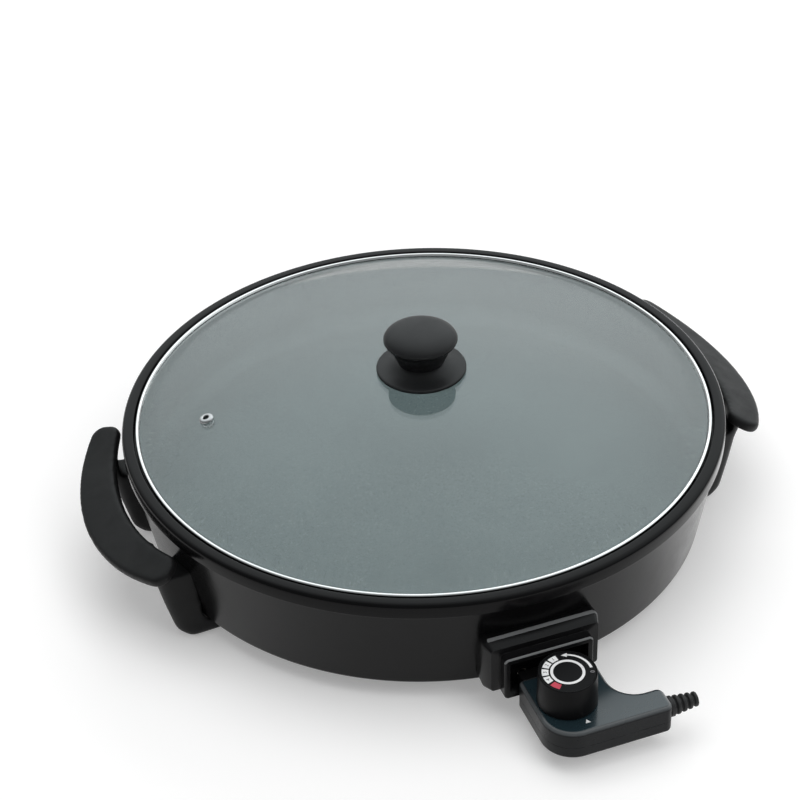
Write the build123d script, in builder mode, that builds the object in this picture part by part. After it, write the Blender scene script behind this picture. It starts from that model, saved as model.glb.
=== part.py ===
# Round electric pan with a lift-off glass lid and a plug-in thermostat.
# Millimetres. The origin is the middle of the cooking floor, +Z is up, the handles lie
# along X and the thermostat plugs in from -Y.
import os
from math import asin, atan2, cos, degrees, radians, sin, sqrt

from build123d import *

os.makedirs("parts", exist_ok=True)

# Pan
rim_r = 200.0  # outer radius of the rim band
rim_w = 7.7  # width of the rim's top ring, outside the lid's recess
rim_band_h = 10.5  # height of the rim band
rim_step = 4.0  # how far the wall is set back under the band
rim_round = 3.0  # rounding of the rim's outer edge
rim_inner_round = 1.0
pan_depth = 55.0  # cooking floor to the top of the rim
wall_draft = 5.0  # loss of radius from the band to the skirt's foot
skirt_drop = 23.0  # cooking floor to the lower edge of the skirt
skirt_t = 8.5
skirt_round = 7.0
floor_t = 3.5
seat_depth = 6.0  # top of the rim down to the lid's ledge
seat_w = 3.3  # width of the lid's ledge
dish_draft = 3.0  # loss of radius from the ledge to the floor
dish_round = 14.0
foot_height = 35.0  # worktop to the cooking floor

# Heating element and the terminals
ring_r = 118.0  # middle of the element's ring
tube_r = 3.25
tube_bend = 14.0  # radius of the bends to the two cold ends
ridge_w = 16.0  # rib under the floor that holds the element
groove_clear = 0.05
terminal_x = 13.0  # each pin's distance from the probe
terminal_drop = 8.0  # cooking floor to the pins' axis
pin_r = 2.0
bead_r = 3.0
bead_len = 4.0
pin_clear = 0.1
hole_clear = 0.25  # round the tubes in the wall
probe_r = 3.0
probe_clear = 0.1
well_w = 13.0  # boss round the probe under the floor
well_end_gap = 6.0  # from the element's rib to the boss
probe_tip_gap = 1.5

# Socket shroud
shroud_clear = 0.15  # between the shroud and the wall
flange_w = 76.0
flange_top = 23.5
shroud_bottom = 15.0  # cooking floor down to the shroud's lower edge
flange_out = 1.0  # the flange's front, outside the wall's top
flange_corner = 5.0
bevel_d = 7.0
bevel_in = 3.0
collar_w = 58.0
collar_top = 16.3
collar_d = 7.0  # the collar's front, in front of the bevel
collar_corner = 3.0
collar_wall = 3.5
collar_floor = 2.5
socket_depth = 11.0
shroud_edge = 1.2
tube_out = 3.0  # tube past the wall
pin_inset = 1.0  # pin's end behind the collar's front

# Screws
screw_r = 2.0
screw_head_r = 4.0
screw_head_h = 2.4
screw_clear = 0.2
screw_bite = 6.0
screw_end_gap = 1.0
thread_clear = 0.05
shroud_screw_x = 31.5
leg_screw_drop = 14.0

# Handles
finger_gap = 8.5  # rim to the blade's inner edge
blade_w = 28.1
blade_t = 7.4
blade_tilt = 24.4  # droop of the blade, outwards
blade_rise = 35.0  # cooking floor to the blade's inner edge, at its middle
blade_half = 88.0  # half the handle's length, along its outer edge
blade_inner_half = 74.0
blade_outer_arc = 138.0
blade_inner_arc = 152.0
blade_corner = 8.8
blade_edge = 2.2
leg_mid = 56.0  # middle of each leg, off the handle's middle
leg_w = 21.0
leg_clear = 0.25  # between a leg and the pan
leg_top_out = 10.0  # leg's outer edge under the blade, past the rim
leg_knee_out = 3.0  # leg's outer edge where it starts to flare, past the rim
leg_knee_rise = 14.0
leg_web = 9.5  # top of the leg, inside the blade's inner edge
leg_shelf = 20.0  # cooking floor to the leg's level part, behind the blade
leg_shelf_round = 5.0
leg_shin_in = 0.5  # leg's outer edge where it turns in, inside the rim
leg_shin_drop = 4.0
leg_toe_in = 6.0  # leg's outer edge near the sole, inside the rim
sole_len = 28.5
toe_h = 8.0
toe_round = 9.0
shin_round = 12.0
knee_round = 14.0
leg_edge = 7.0

# Lid
lid_gap = 1.3  # between the lid's band and the rim
seat_clear = 0.3
band_h = 5.6
band_lip = 3.2
band_t = 1.2
glass_t = 4.0
glass_edge_gap = 0.15
dome_rise = 31.4
vent_in = 56.5  # rim to the vent
vent_angle = 170.3
vent_flange_r = 5.0
vent_hole_r = 1.9
vent_neck_r = 3.4
vent_flange_t = 1.2
vent_clear = 0.2

# Lid knob
knob_base_r = 29.5
knob_base_h = 7.4  # glass to the top of the base
knob_base_edge = 2.4
knob_base_clear = 0.3
knob_neck_r = 14.0
knob_neck_h = 10.4
knob_cap_r = 24.2
knob_cap_h = 24.4  # from the top of the base to the top of the knob
knob_crown = 2.2  # rise of the knob's top
knob_neck_round = 5.0
knob_low_round = 4.6
knob_top_round = 6.5
gasket_r = 10.0
gasket_t = 1.2
washer_r = 8.0
washer_t = 1.2
knob_screw_r = 2.5
knob_screw_head_r = 5.0
knob_screw_head_h = 2.8
knob_screw_bite = 9.0
glass_hole_clear = 0.8

# Thermostat plug
plug_gap = 0.5  # collar's front to the housing's rear
body_left = 21.0  # housing's left side, off the probe's axis
body_right = 28.5
arm_end = 56.0
body_len = 55.0
arm_w = 18.5
front_corner = 20.0
inner_corner = 17.0
end_corner = 4.5
rear_corner = 3.5
body_top_drop = 1.0  # cooking floor down to the housing's top
body_bottom_drop = 21.0
parting_drop = 12.8
parting_gap = 0.3
shell_t = 2.2
top_edge = 2.8
bottom_edge = 2.0
boss_r = 3.3
boss_join = 0.6  # how far a boss runs into the wall beside it
boss_hole_clear = 0.25
small_screw_r = 1.4
small_head_r = 2.6
small_head_h = 1.8
small_screw_clear = 0.05

# Plug nose
nose_half = 17.0
nose_top_drop = 3.8
nose_bottom_drop = 12.0
nose_front_gap = 1.5  # socket's back to the nose
nose_clear = 0.2
nose_flange_t = 3.0
nose_flange_over = 1.0
sleeve_wall = 0.8
sleeve_fit = 0.05
probe_hold = 12.0

# Dial
dial_back = 25.5  # housing's rear to the dial's axis
dial_r = 18.3
dial_h = 21.9
dial_gap = 0.6
dial_taper = 2.0
dial_edge = 0.7
dial_wall = 2.4
face_r = 16.6
face_t = 1.2
face_sink = 0.5  # how far the face lies under the knob's rim
face_clear = 0.1
spindle_r = 2.5
spindle_fit = 0.06
bush_r = 4.2
bush_flange_r = 6.0
bush_flange_t = 1.5

# Switch inside the housing
frame_t = 1.2
frame_w = 18.0
frame_past = 8.0
frame_top_gap = 1.0
blade_strip_w = 6.0
blade_strip_t = 0.6
blade_pitch = 2.4
contact_r = 1.6
stack_d = 7.0
spindle_tip_gap = 0.3

# Lamp and strain relief
lamp_r = 2.4
lamp_flange_r = 3.0
lamp_flange_t = 1.0
lamp_proud = 1.2
lamp_x = 14.0
lamp_back = 8.8
lamp_clear = 0.1
relief_drop = 10.0
relief_neck_r = 4.6
relief_flange_r = 5.2
relief_root_r = 6.4
relief_tip_r = 4.4
relief_len = 19.0
relief_collar = 3.0
relief_bore_r = 3.2
relief_ribs = 4
relief_flange = 2.0
relief_clear = 0.1

# Worked-out places
worktop_z = -foot_height
terminal_z = -terminal_drop
band_z = pan_depth - rim_band_h
seat_z = pan_depth - seat_depth
seat_r = rim_r - rim_w
dish_top_r = seat_r - seat_w
dish_foot_r = dish_top_r - dish_draft
wall_top_r = rim_r - rim_step
wall_foot_r = wall_top_r - wall_draft
skirt_in_r = wall_foot_r - skirt_t
flange_y = wall_top_r + flange_out
bevel_y = flange_y + bevel_d
collar_y = bevel_y + collar_d
socket_y = collar_y - socket_depth
tube_end_y = wall_foot_r + tube_out
pin_end_y = collar_y - pin_inset
rear_y = -(collar_y + plug_gap)
front_y = rear_y - body_len
dial_y = rear_y - dial_back
body_top = -body_top_drop
body_bottom = -body_bottom_drop
parting_z = -parting_drop


def near(shapes, *point):
    """The one of these shapes that lies nearest to a point."""
    return shapes.sort_by_distance(point)[0]


def wall_outline(grow):
    """Outside of the wall and skirt as a closed section, grown by a clearance."""
    with BuildSketch() as section:
        with BuildLine():
            Polyline(
                (0, -skirt_drop - grow),
                (wall_foot_r + grow, -skirt_drop - grow),
                (wall_top_r + grow, band_z),
                (0, band_z),
                close=True,
            )
        make_face()
        fillet(near(section.vertices(), wall_foot_r + grow, -skirt_drop - grow), skirt_round)
    return section.sketch


def radial_plane(angle, z):
    """Plane on the pan's axis that looks outwards at an angle about Z."""
    turn = radians(angle)
    return Plane(origin=(0, 0, z), x_dir=(0, 0, 1), z_dir=(cos(turn), sin(turn), 0))


leg_angle = degrees(asin(leg_mid / wall_foot_r))
leg_angles = [leg_angle, 180 - leg_angle, 180 + leg_angle, -leg_angle]
shroud_screw_turn = degrees(asin(shroud_screw_x / wall_foot_r))
shroud_angles = [-90 - shroud_screw_turn, -90 + shroud_screw_turn]

# Pan body: one casting with a ledge for the lid, a skirt below the floor, a grooved rib
# for the element and a boss for the probe
with BuildPart() as pan_body:
    with BuildSketch(Plane.XZ) as pan_section:
        with BuildLine():
            Polyline(
                (0, 0),
                (dish_foot_r, 0),
                (dish_top_r, seat_z),
                (seat_r, seat_z),
                (seat_r, pan_depth),
                (rim_r, pan_depth),
                (rim_r, band_z),
                (wall_top_r, band_z),
                (wall_foot_r, -skirt_drop),
                (skirt_in_r, -skirt_drop),
                (skirt_in_r, -floor_t),
                (0, -floor_t),
                close=True,
            )
        make_face()
        fillet(near(pan_section.vertices(), dish_foot_r, 0), dish_round)
        fillet(near(pan_section.vertices(), rim_r, pan_depth), rim_round)
        fillet(near(pan_section.vertices(), seat_r, pan_depth), rim_inner_round)
        fillet(near(pan_section.vertices(), rim_r, band_z), rim_inner_round)
        fillet(near(pan_section.vertices(), wall_foot_r, -skirt_drop), skirt_round)
    revolve(axis=Axis.Z)
    rib_h = terminal_drop - floor_t
    with BuildSketch(Plane.XZ):
        with Locations((ring_r, -floor_t)):
            Rectangle(ridge_w, 2 * rib_h)
        with Locations((ring_r, terminal_z)):
            Circle(tube_r + groove_clear, mode=Mode.SUBTRACT)
        with Locations((ring_r, 0)):
            Rectangle(ridge_w, 2 * floor_t, mode=Mode.SUBTRACT)
    revolve(axis=Axis.Z)
    # the rib is left out where the element's ends turn outwards
    with Locations((0, -ring_r, -floor_t)):
        Box(
            2 * (terminal_x + 2 * tube_bend),
            ridge_w + 2 * tube_bend,
            2 * rib_h,
            align=(Align.CENTER, Align.CENTER, Align.MAX),
            mode=Mode.SUBTRACT,
        )
    well_y = ring_r + ridge_w / 2 + well_end_gap
    with BuildSketch(Plane.XZ.offset(well_y)):
        with Locations((0, -floor_t)):
            Rectangle(well_w, terminal_drop - floor_t + well_w / 2, align=(Align.CENTER, Align.MAX))
    extrude(amount=skirt_in_r - well_y + skirt_t / 4)
    with BuildSketch(Plane.XZ.offset(well_y + probe_tip_gap)):
        with Locations((0, terminal_z)):
            Circle(probe_r + probe_clear)
    extrude(amount=rim_r - well_y, mode=Mode.SUBTRACT)
    with BuildSketch(Plane.XZ.offset(skirt_in_r - skirt_t)):
        with Locations((-terminal_x, terminal_z), (terminal_x, terminal_z)):
            Circle(tube_r + hole_clear)
    extrude(amount=4 * skirt_t, mode=Mode.SUBTRACT)
    for angle in leg_angles:
        with BuildSketch(radial_plane(angle, -leg_screw_drop).offset(skirt_in_r - skirt_t)):
            Circle(screw_r + screw_clear)
        extrude(amount=4 * skirt_t, mode=Mode.SUBTRACT)
    for angle in shroud_angles:
        with BuildSketch(radial_plane(angle, terminal_z).offset(skirt_in_r - skirt_t)):
            Circle(screw_r + screw_clear)
        extrude(amount=4 * skirt_t, mode=Mode.SUBTRACT)
pan_body.part.label = "pan_body"
export_step(pan_body.part, "parts/pan_body.step")

# Heating element: one sheathed tube, a ring with two ends that turn out to the socket
bend_x = terminal_x + tube_bend
bend_y = sqrt((ring_r + tube_bend) ** 2 - bend_x**2)
bend_angle = degrees(atan2(bend_y, bend_x))
with BuildPart() as heating_element:
    with BuildLine(Plane.XY.offset(terminal_z)) as element_path:
        Line((terminal_x, -tube_end_y), (terminal_x, -bend_y))
        CenterArc((bend_x, -bend_y), tube_bend, 180, -bend_angle)
        CenterArc((0, 0), ring_r, -bend_angle, 180 + 2 * bend_angle)
        CenterArc((-bend_x, -bend_y), tube_bend, bend_angle, -bend_angle)
        Line((-terminal_x, -bend_y), (-terminal_x, -tube_end_y))
    with BuildSketch(Plane.XZ.offset(tube_end_y)):
        with Locations((terminal_x, terminal_z)):
            Circle(tube_r)
    sweep(path=element_path.wire())
heating_element.part.label = "heating_element"
export_step(heating_element.part, "parts/heating_element.step")

# Ceramic beads and pins at the element's two ends
with BuildPart() as element_insulators:
    with BuildSketch(Plane.XZ.offset(tube_end_y)):
        with Locations((-terminal_x, terminal_z), (terminal_x, terminal_z)):
            Circle(bead_r)
            Circle(pin_r + thread_clear, mode=Mode.SUBTRACT)
    extrude(amount=bead_len)
element_insulators.part.label = "element_insulators"
export_step(element_insulators.part, "parts/element_insulators.step")

with BuildPart() as terminal_pins:
    with BuildSketch(Plane.XZ.offset(tube_end_y)):
        with Locations((-terminal_x, terminal_z), (terminal_x, terminal_z)):
            Circle(pin_r)
    extrude(amount=pin_end_y - tube_end_y)
    pin_tips = terminal_pins.faces().sort_by(Axis.Y)[:2]
    fillet([face.edges()[0] for face in pin_tips], pin_r / 2)
terminal_pins.part.label = "terminal_pins"
export_step(terminal_pins.part, "parts/terminal_pins.step")

# Socket shroud: a flange on the wall, a bevelled step and a hollow collar round the pins
with BuildPart() as socket_shroud:
    shroud_back = skirt_in_r - skirt_t
    with BuildSketch(Plane.XZ.offset(shroud_back)):
        with Locations((0, (flange_top - shroud_bottom) / 2)):
            RectangleRounded(flange_w, flange_top + shroud_bottom, flange_corner)
    extrude(amount=flange_y - shroud_back)
    with BuildSketch(Plane.XZ.offset(flange_y)):
        with Locations((0, (flange_top - shroud_bottom) / 2)):
            RectangleRounded(flange_w, flange_top + shroud_bottom, flange_corner)
    extrude(amount=bevel_d, taper=degrees(atan2(bevel_in, bevel_d)))
    with BuildSketch(Plane.XZ.offset(flange_y)):
        with Locations((0, (collar_top - shroud_bottom) / 2)):
            RectangleRounded(collar_w, collar_top + shroud_bottom, collar_corner)
    extrude(amount=collar_y - flange_y)
    fillet(socket_shroud.faces().sort_by(Axis.Y)[0].edges(), shroud_edge)
    with BuildSketch(Plane.XZ.offset(socket_y)):
        with Locations((0, collar_top - collar_wall)):
            Rectangle(
                collar_w - 2 * collar_wall,
                collar_top - collar_wall + shroud_bottom - collar_floor,
                align=(Align.CENTER, Align.MAX),
            )
    extrude(amount=socket_depth, mode=Mode.SUBTRACT)
    with BuildSketch(Plane.XZ):
        add(wall_outline(shroud_clear))
    revolve(axis=Axis.Z, mode=Mode.SUBTRACT)
    with BuildSketch(Plane.XZ.offset(shroud_back)):
        with Locations((-terminal_x, terminal_z), (terminal_x, terminal_z)):
            Circle(tube_r + hole_clear)
        with Locations((0, terminal_z)):
            Circle(probe_r + 2 * hole_clear)
    extrude(amount=socket_y - shroud_back, mode=Mode.SUBTRACT)
    for angle in shroud_angles:
        with BuildSketch(radial_plane(angle, terminal_z).offset(shroud_back)):
            Circle(screw_r + thread_clear)
        extrude(amount=wall_foot_r + screw_bite - shroud_back, mode=Mode.SUBTRACT)
socket_shroud.part.label = "socket_shroud"
export_step(socket_shroud.part, "parts/socket_shroud.step")

# Screws through the skirt, put in from inside it
screw_seat = sqrt(skirt_in_r**2 - screw_head_r**2)
screw_len = skirt_t + screw_bite - screw_end_gap
with BuildPart() as shroud_screws:
    for angle in shroud_angles:
        screw_plane = radial_plane(angle, terminal_z)
        with BuildSketch(screw_plane.offset(screw_seat - screw_head_h)):
            Circle(screw_head_r)
        extrude(amount=screw_head_h)
        with BuildSketch(screw_plane.offset(screw_seat)):
            Circle(screw_r)
        extrude(amount=screw_len)
shroud_screws.part.label = "shroud_screws"
export_step(shroud_screws.part, "parts/shroud_screws.step")

with BuildPart() as handle_screws:
    for angle in leg_angles:
        screw_plane = radial_plane(angle, -leg_screw_drop)
        with BuildSketch(screw_plane.offset(screw_seat - screw_head_h)):
            Circle(screw_head_r)
        extrude(amount=screw_head_h)
        with BuildSketch(screw_plane.offset(screw_seat)):
            Circle(screw_r)
        extrude(amount=screw_len)
handle_screws.part.label = "handle_screws"
export_step(handle_screws.part, "parts/handle_screws.step")

# Handles: a drooping crescent blade on two legs that reach under the pan's edge
tilt = radians(blade_tilt)
blade_in_x = rim_r + finger_gap
blade_plane = Plane(
    origin=(blade_in_x, 0, blade_rise),
    x_dir=(cos(tilt), 0, -sin(tilt)),
    z_dir=(sin(tilt), 0, cos(tilt)),
)
leg_top_x = rim_r + leg_top_out
web_x = blade_in_x - leg_web
toe_x = rim_r - leg_toe_in


def blade_mid(x):
    """Height of the middle of the blade's thickness."""
    return blade_rise - (x - blade_in_x) * sin(tilt) / cos(tilt) - blade_t / 2 / cos(tilt)


with BuildPart() as handle_blade:
    with BuildSketch(blade_plane) as blade_plan:
        outer_end = blade_w - blade_outer_arc + sqrt(blade_outer_arc**2 - blade_half**2)
        inner_end = sqrt(blade_inner_arc**2 - blade_inner_half**2) - blade_inner_arc
        with BuildLine():
            ThreePointArc((outer_end, -blade_half), (blade_w, 0), (outer_end, blade_half))
            Line((outer_end, blade_half), (inner_end, blade_inner_half))
            ThreePointArc((inner_end, blade_inner_half), (0, 0), (inner_end, -blade_inner_half))
            Line((inner_end, -blade_inner_half), (outer_end, -blade_half))
        make_face()
        fillet(blade_plan.vertices(), blade_corner)
    extrude(amount=-blade_t)
    blade_faces = handle_blade.faces().filter_by(lambda face: face.geom_type == GeomType.PLANE)
    fillet(blade_faces.sort_by(SortBy.AREA)[-2:].edges(), blade_edge)

with BuildPart() as handle_right:
    for side in (-1, 1):
        with BuildSketch(Plane.XZ.offset(side * leg_mid - leg_w / 2)) as leg_side:
            with BuildLine():
                Polyline(
                    (toe_x - sole_len, worktop_z),
                    (toe_x - toe_h, worktop_z),
                    (toe_x, worktop_z + toe_h),
                    (rim_r - leg_shin_in, -leg_shin_drop),
                    (rim_r + leg_knee_out, leg_knee_rise),
                    (leg_top_x, blade_mid(leg_top_x)),
                    (web_x, blade_mid(web_x)),
                    (web_x, leg_shelf),
                    (toe_x - sole_len, leg_shelf),
                    close=True,
                )
            make_face()
            fillet(near(leg_side.vertices(), toe_x - toe_h, worktop_z), toe_round)
            fillet(near(leg_side.vertices(), toe_x, worktop_z + toe_h), shin_round)
            fillet(near(leg_side.vertices(), rim_r - leg_shin_in, -leg_shin_drop), shin_round)
            fillet(near(leg_side.vertices(), rim_r + leg_knee_out, leg_knee_rise), knee_round)
            fillet(near(leg_side.vertices(), web_x, leg_shelf), leg_shelf_round)
        extrude(amount=leg_w)
    leg_rims = handle_right.edges().filter_by(Axis.Y, reverse=True)
    leg_rims = leg_rims.filter_by_position(Axis.Z, worktop_z + toe_h / 8, leg_shelf)
    fillet(leg_rims.filter_by_position(Axis.X, toe_x - toe_h, leg_top_x), leg_edge)
    with BuildSketch(Plane.XZ):
        add(wall_outline(leg_clear))
    revolve(axis=Axis.Z, mode=Mode.SUBTRACT)
    add(handle_blade.part)
    for angle in (leg_angle, -leg_angle):
        with BuildSketch(radial_plane(angle, -leg_screw_drop).offset(wall_foot_r - skirt_round)):
            Circle(screw_r + thread_clear)
        extrude(amount=skirt_round + screw_bite, mode=Mode.SUBTRACT)
handle_right.part.label = "handle_right"
export_step(handle_right.part, "parts/handle_right.step")

with BuildPart() as handle_left:
    add(mirror(handle_right.part, about=Plane.YZ, mode=Mode.PRIVATE))
handle_left.part.label = "handle_left"
export_step(handle_left.part, "parts/handle_left.step")

# Lid: domed glass held in a rolled band
band_r = seat_r - lid_gap
band_bottom = seat_z + seat_clear
band_top = band_bottom + band_h
glass_r = band_r - band_t - glass_edge_gap
lip_r = band_r - band_lip
lip_z = band_top - band_t - glass_edge_gap
dome_top = lip_z + dome_rise
dome_r = (lip_r**2 + dome_rise**2) / (2 * dome_rise)


def dome_z(r):
    """Height of the glass's outer face at a distance from the middle."""
    return dome_top - dome_r + sqrt(dome_r**2 - r**2)


vent_turn = radians(vent_angle)
vent_r = rim_r - vent_in
vent_out = (cos(vent_turn) * vent_r, sin(vent_turn) * vent_r, dome_z(vent_r))
vent_normal = (vent_out[0], vent_out[1], vent_out[2] - dome_top + dome_r)
vent_plane = Plane(origin=vent_out, z_dir=vent_normal)

with BuildPart() as lid_glass:
    with BuildSketch(Plane.XZ):
        mid_r = glass_r / 2
        edge_z = dome_z(glass_r)
        with BuildLine():
            ThreePointArc((0, dome_top), (mid_r, dome_z(mid_r)), (glass_r, edge_z))
            Line((glass_r, edge_z), (glass_r, edge_z - glass_t))
            ThreePointArc(
                (glass_r, edge_z - glass_t),
                (mid_r, dome_z(mid_r) - glass_t),
                (0, dome_top - glass_t),
            )
            Line((0, dome_top - glass_t), (0, dome_top))
        make_face()
        # the lower edge is ground flat to fit the band
        with Locations((glass_r, band_bottom + band_t + glass_edge_gap)):
            Rectangle(
                2 * glass_r, glass_t, align=(Align.CENTER, Align.MAX), mode=Mode.SUBTRACT
            )
    revolve(axis=Axis.Z)
    with BuildSketch(Plane.XY.offset(dome_top)):
        Circle(knob_screw_r + glass_hole_clear)
    extrude(amount=2 * glass_t, both=True, mode=Mode.SUBTRACT)
    with BuildSketch(vent_plane):
        Circle(vent_neck_r + vent_clear)
    extrude(amount=2 * glass_t, both=True, mode=Mode.SUBTRACT)
lid_glass.part.label = "lid_glass"
export_step(lid_glass.part, "parts/lid_glass.step")

with BuildPart() as lid_band:
    with BuildSketch(Plane.XZ) as band_section:
        with Locations((band_r, band_bottom)):
            Rectangle(band_lip, band_h, align=(Align.MAX, Align.MIN))
        fillet(band_section.vertices().group_by(Axis.X)[-1], band_t)
        with Locations((band_r - band_t, band_bottom + band_t)):
            Rectangle(
                band_lip, band_h - 2 * band_t, align=(Align.MAX, Align.MIN), mode=Mode.SUBTRACT
            )
    revolve(axis=Axis.Z)
lid_band.part.label = "lid_band"
export_step(lid_band.part, "parts/lid_band.step")

with BuildPart() as vent_eyelet:
    with BuildSketch(vent_plane):
        Circle(vent_flange_r)
    extrude(amount=vent_flange_t)
    fillet(vent_eyelet.edges().sort_by(SortBy.DISTANCE)[-1:], vent_flange_t / 3)
    with BuildSketch(vent_plane.offset(-glass_t - 2 * vent_flange_t)):
        Circle(vent_neck_r)
    extrude(amount=glass_t + 2 * vent_flange_t)
    with BuildSketch(vent_plane.offset(-glass_t - 2 * vent_flange_t)):
        Circle(vent_flange_r - vent_flange_t)
    extrude(amount=vent_flange_t)
    with BuildSketch(vent_plane.offset(-2 * glass_t)):
        Circle(vent_hole_r)
    extrude(amount=4 * glass_t, mode=Mode.SUBTRACT)
vent_eyelet.part.label = "vent_eyelet"
export_step(vent_eyelet.part, "parts/vent_eyelet.step")

# Lid knob, its base and what clamps them to the glass
cap_z = dome_top + knob_base_h
knob_top = cap_z + knob_cap_h

with BuildPart() as knob_gasket:
    with BuildSketch(Plane.XZ):
        with Locations((knob_screw_r + glass_hole_clear, dome_top + gasket_t)):
            Rectangle(
                gasket_r - knob_screw_r - glass_hole_clear,
                2 * gasket_t,
                align=(Align.MIN, Align.MAX),
            )
        with Locations((0, dome_top - dome_r)):
            Circle(dome_r, mode=Mode.SUBTRACT)
    revolve(axis=Axis.Z)
knob_gasket.part.label = "knob_gasket"
export_step(knob_gasket.part, "parts/knob_gasket.step")

with BuildPart() as knob_base:
    with BuildSketch(Plane.XZ) as base_section:
        base_low = dome_z(knob_base_r) + knob_base_clear
        with BuildLine():
            Polyline(
                (knob_screw_r + glass_hole_clear, base_low),
                (knob_base_r, base_low),
                (knob_base_r, base_low + knob_base_edge),
                (knob_neck_r, cap_z),
                (knob_screw_r + glass_hole_clear, cap_z),
                close=True,
            )
        make_face()
        fillet(
            near(base_section.vertices(), knob_base_r, base_low + knob_base_edge),
            knob_base_edge / 2,
        )
        fillet(near(base_section.vertices(), knob_base_r, base_low), knob_base_edge / 4)
        with Locations((0, dome_top - dome_r)):
            Circle(dome_r + knob_base_clear, mode=Mode.SUBTRACT)
        with Locations((0, dome_top)):
            Rectangle(2 * (gasket_r + thread_clear), 2 * gasket_t, mode=Mode.SUBTRACT)
    revolve(axis=Axis.Z)
knob_base.part.label = "knob_base"
export_step(knob_base.part, "parts/knob_base.step")

with BuildPart() as lid_knob:
    with BuildSketch(Plane.XZ) as cap_section:
        under_z = cap_z + knob_neck_h
        crown_z = knob_top - knob_crown
        with BuildLine():
            Polyline(
                (0, cap_z),
                (knob_neck_r, cap_z),
                (knob_neck_r, under_z),
                (knob_cap_r, under_z),
                (knob_cap_r, crown_z),
                (0, knob_top),
                close=True,
            )
        make_face()
        fillet(near(cap_section.vertices(), knob_neck_r, under_z), knob_neck_round)
        fillet(near(cap_section.vertices(), knob_cap_r, under_z), knob_low_round)
        fillet(near(cap_section.vertices(), knob_cap_r, crown_z), knob_top_round)
    revolve(axis=Axis.Z)
    with BuildSketch(Plane.XY.offset(cap_z)):
        Circle(knob_screw_r + thread_clear)
    extrude(amount=knob_screw_bite + screw_end_gap, mode=Mode.SUBTRACT)
lid_knob.part.label = "lid_knob"
export_step(lid_knob.part, "parts/lid_knob.step")

washer_z = dome_z(washer_r) - glass_t - washer_t
with BuildPart() as knob_washer:
    with BuildSketch(Plane.XY.offset(washer_z)):
        Circle(washer_r)
        Circle(knob_screw_r + glass_hole_clear, mode=Mode.SUBTRACT)
    extrude(amount=washer_t)
knob_washer.part.label = "knob_washer"
export_step(knob_washer.part, "parts/knob_washer.step")

with BuildPart() as knob_screw:
    with BuildSketch(Plane.XY.offset(washer_z - knob_screw_head_h)):
        Circle(knob_screw_head_r)
    extrude(amount=knob_screw_head_h)
    fillet(knob_screw.edges().sort_by(Axis.Z)[:1], knob_screw_head_h / 2)
    with BuildSketch(Plane.XY.offset(washer_z)):
        Circle(knob_screw_r)
    extrude(amount=cap_z + knob_screw_bite - washer_z)
knob_screw.part.label = "knob_screw"
export_step(knob_screw.part, "parts/knob_screw.step")

# Thermostat housing: a boot-shaped outline shared by its two shells
arm_rear_y = front_y + arm_w
with BuildSketch() as housing_plan:
    with BuildLine():
        Polyline(
            (-body_left, rear_y),
            (body_right, rear_y),
            (body_right, arm_rear_y),
            (arm_end, arm_rear_y),
            (arm_end, front_y),
            (-body_left, front_y),
            close=True,
        )
    make_face()
    fillet(near(housing_plan.vertices(), body_right, arm_rear_y), inner_corner)
    fillet(near(housing_plan.vertices(), -body_left, front_y), front_corner)
    fillet(near(housing_plan.vertices(), arm_end, arm_rear_y), end_corner)
    fillet(near(housing_plan.vertices(), arm_end, front_y), end_corner)
    fillet(near(housing_plan.vertices(), -body_left, rear_y), rear_corner)
    fillet(near(housing_plan.vertices(), body_right, rear_y), rear_corner)

housing_outer = housing_plan.sketch
housing_inner = offset(housing_outer, amount=-shell_t)
boss_places = [
    (-body_left + front_corner * 0.65, front_y + front_corner * 0.5),
    (body_right, front_y + shell_t + boss_r - boss_join),
    (body_right - shell_t - boss_r + boss_join, rear_y - shell_t - boss_r - nose_flange_t),
]
relief_y = front_y + arm_w / 2
relief_z = -relief_drop
relief_plane = Plane(origin=(arm_end, relief_y, relief_z), x_dir=(0, 1, 0), z_dir=(1, 0, 0))
lamp_place = (lamp_x, rear_y - lamp_back)

with BuildPart() as thermostat_cover:
    cover_z = parting_z + parting_gap
    with BuildSketch(Plane.XY.offset(cover_z)):
        add(housing_outer)
    extrude(amount=body_top - cover_z)
    fillet(thermostat_cover.faces().sort_by(Axis.Z)[-1].edges(), top_edge)
    with BuildSketch(Plane.XY.offset(cover_z)):
        add(housing_inner)
    extrude(amount=body_top - shell_t - cover_z, mode=Mode.SUBTRACT)
    with BuildSketch(Plane.XY.offset(cover_z)):
        with Locations(*boss_places):
            Circle(boss_r)
    extrude(amount=body_top - shell_t / 2 - cover_z)
    with BuildSketch(Plane.XY.offset(cover_z)):
        with Locations(*boss_places):
            Circle(small_screw_r + small_screw_clear)
    extrude(amount=body_top - shell_t - cover_z, mode=Mode.SUBTRACT)
    with BuildSketch(Plane.XY.offset(body_top - 2 * shell_t)):
        with Locations((0, dial_y)):
            Circle(bush_r + hole_clear)
        with Locations(lamp_place):
            Circle(lamp_r + lamp_clear)
    extrude(amount=4 * shell_t, mode=Mode.SUBTRACT)
    with BuildSketch(Plane.XZ.offset(-rear_y - shell_t)):
        with Locations((0, -nose_top_drop + nose_clear)):
            Rectangle(
                2 * (nose_half + nose_clear),
                2 * parting_drop,
                align=(Align.CENTER, Align.MAX),
            )
    extrude(amount=3 * shell_t, mode=Mode.SUBTRACT)
    with BuildSketch(relief_plane.offset(-2 * shell_t)):
        Circle(relief_neck_r + relief_clear)
    extrude(amount=4 * shell_t, mode=Mode.SUBTRACT)
thermostat_cover.part.label = "thermostat_cover"
export_step(thermostat_cover.part, "parts/thermostat_cover.step")

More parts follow.
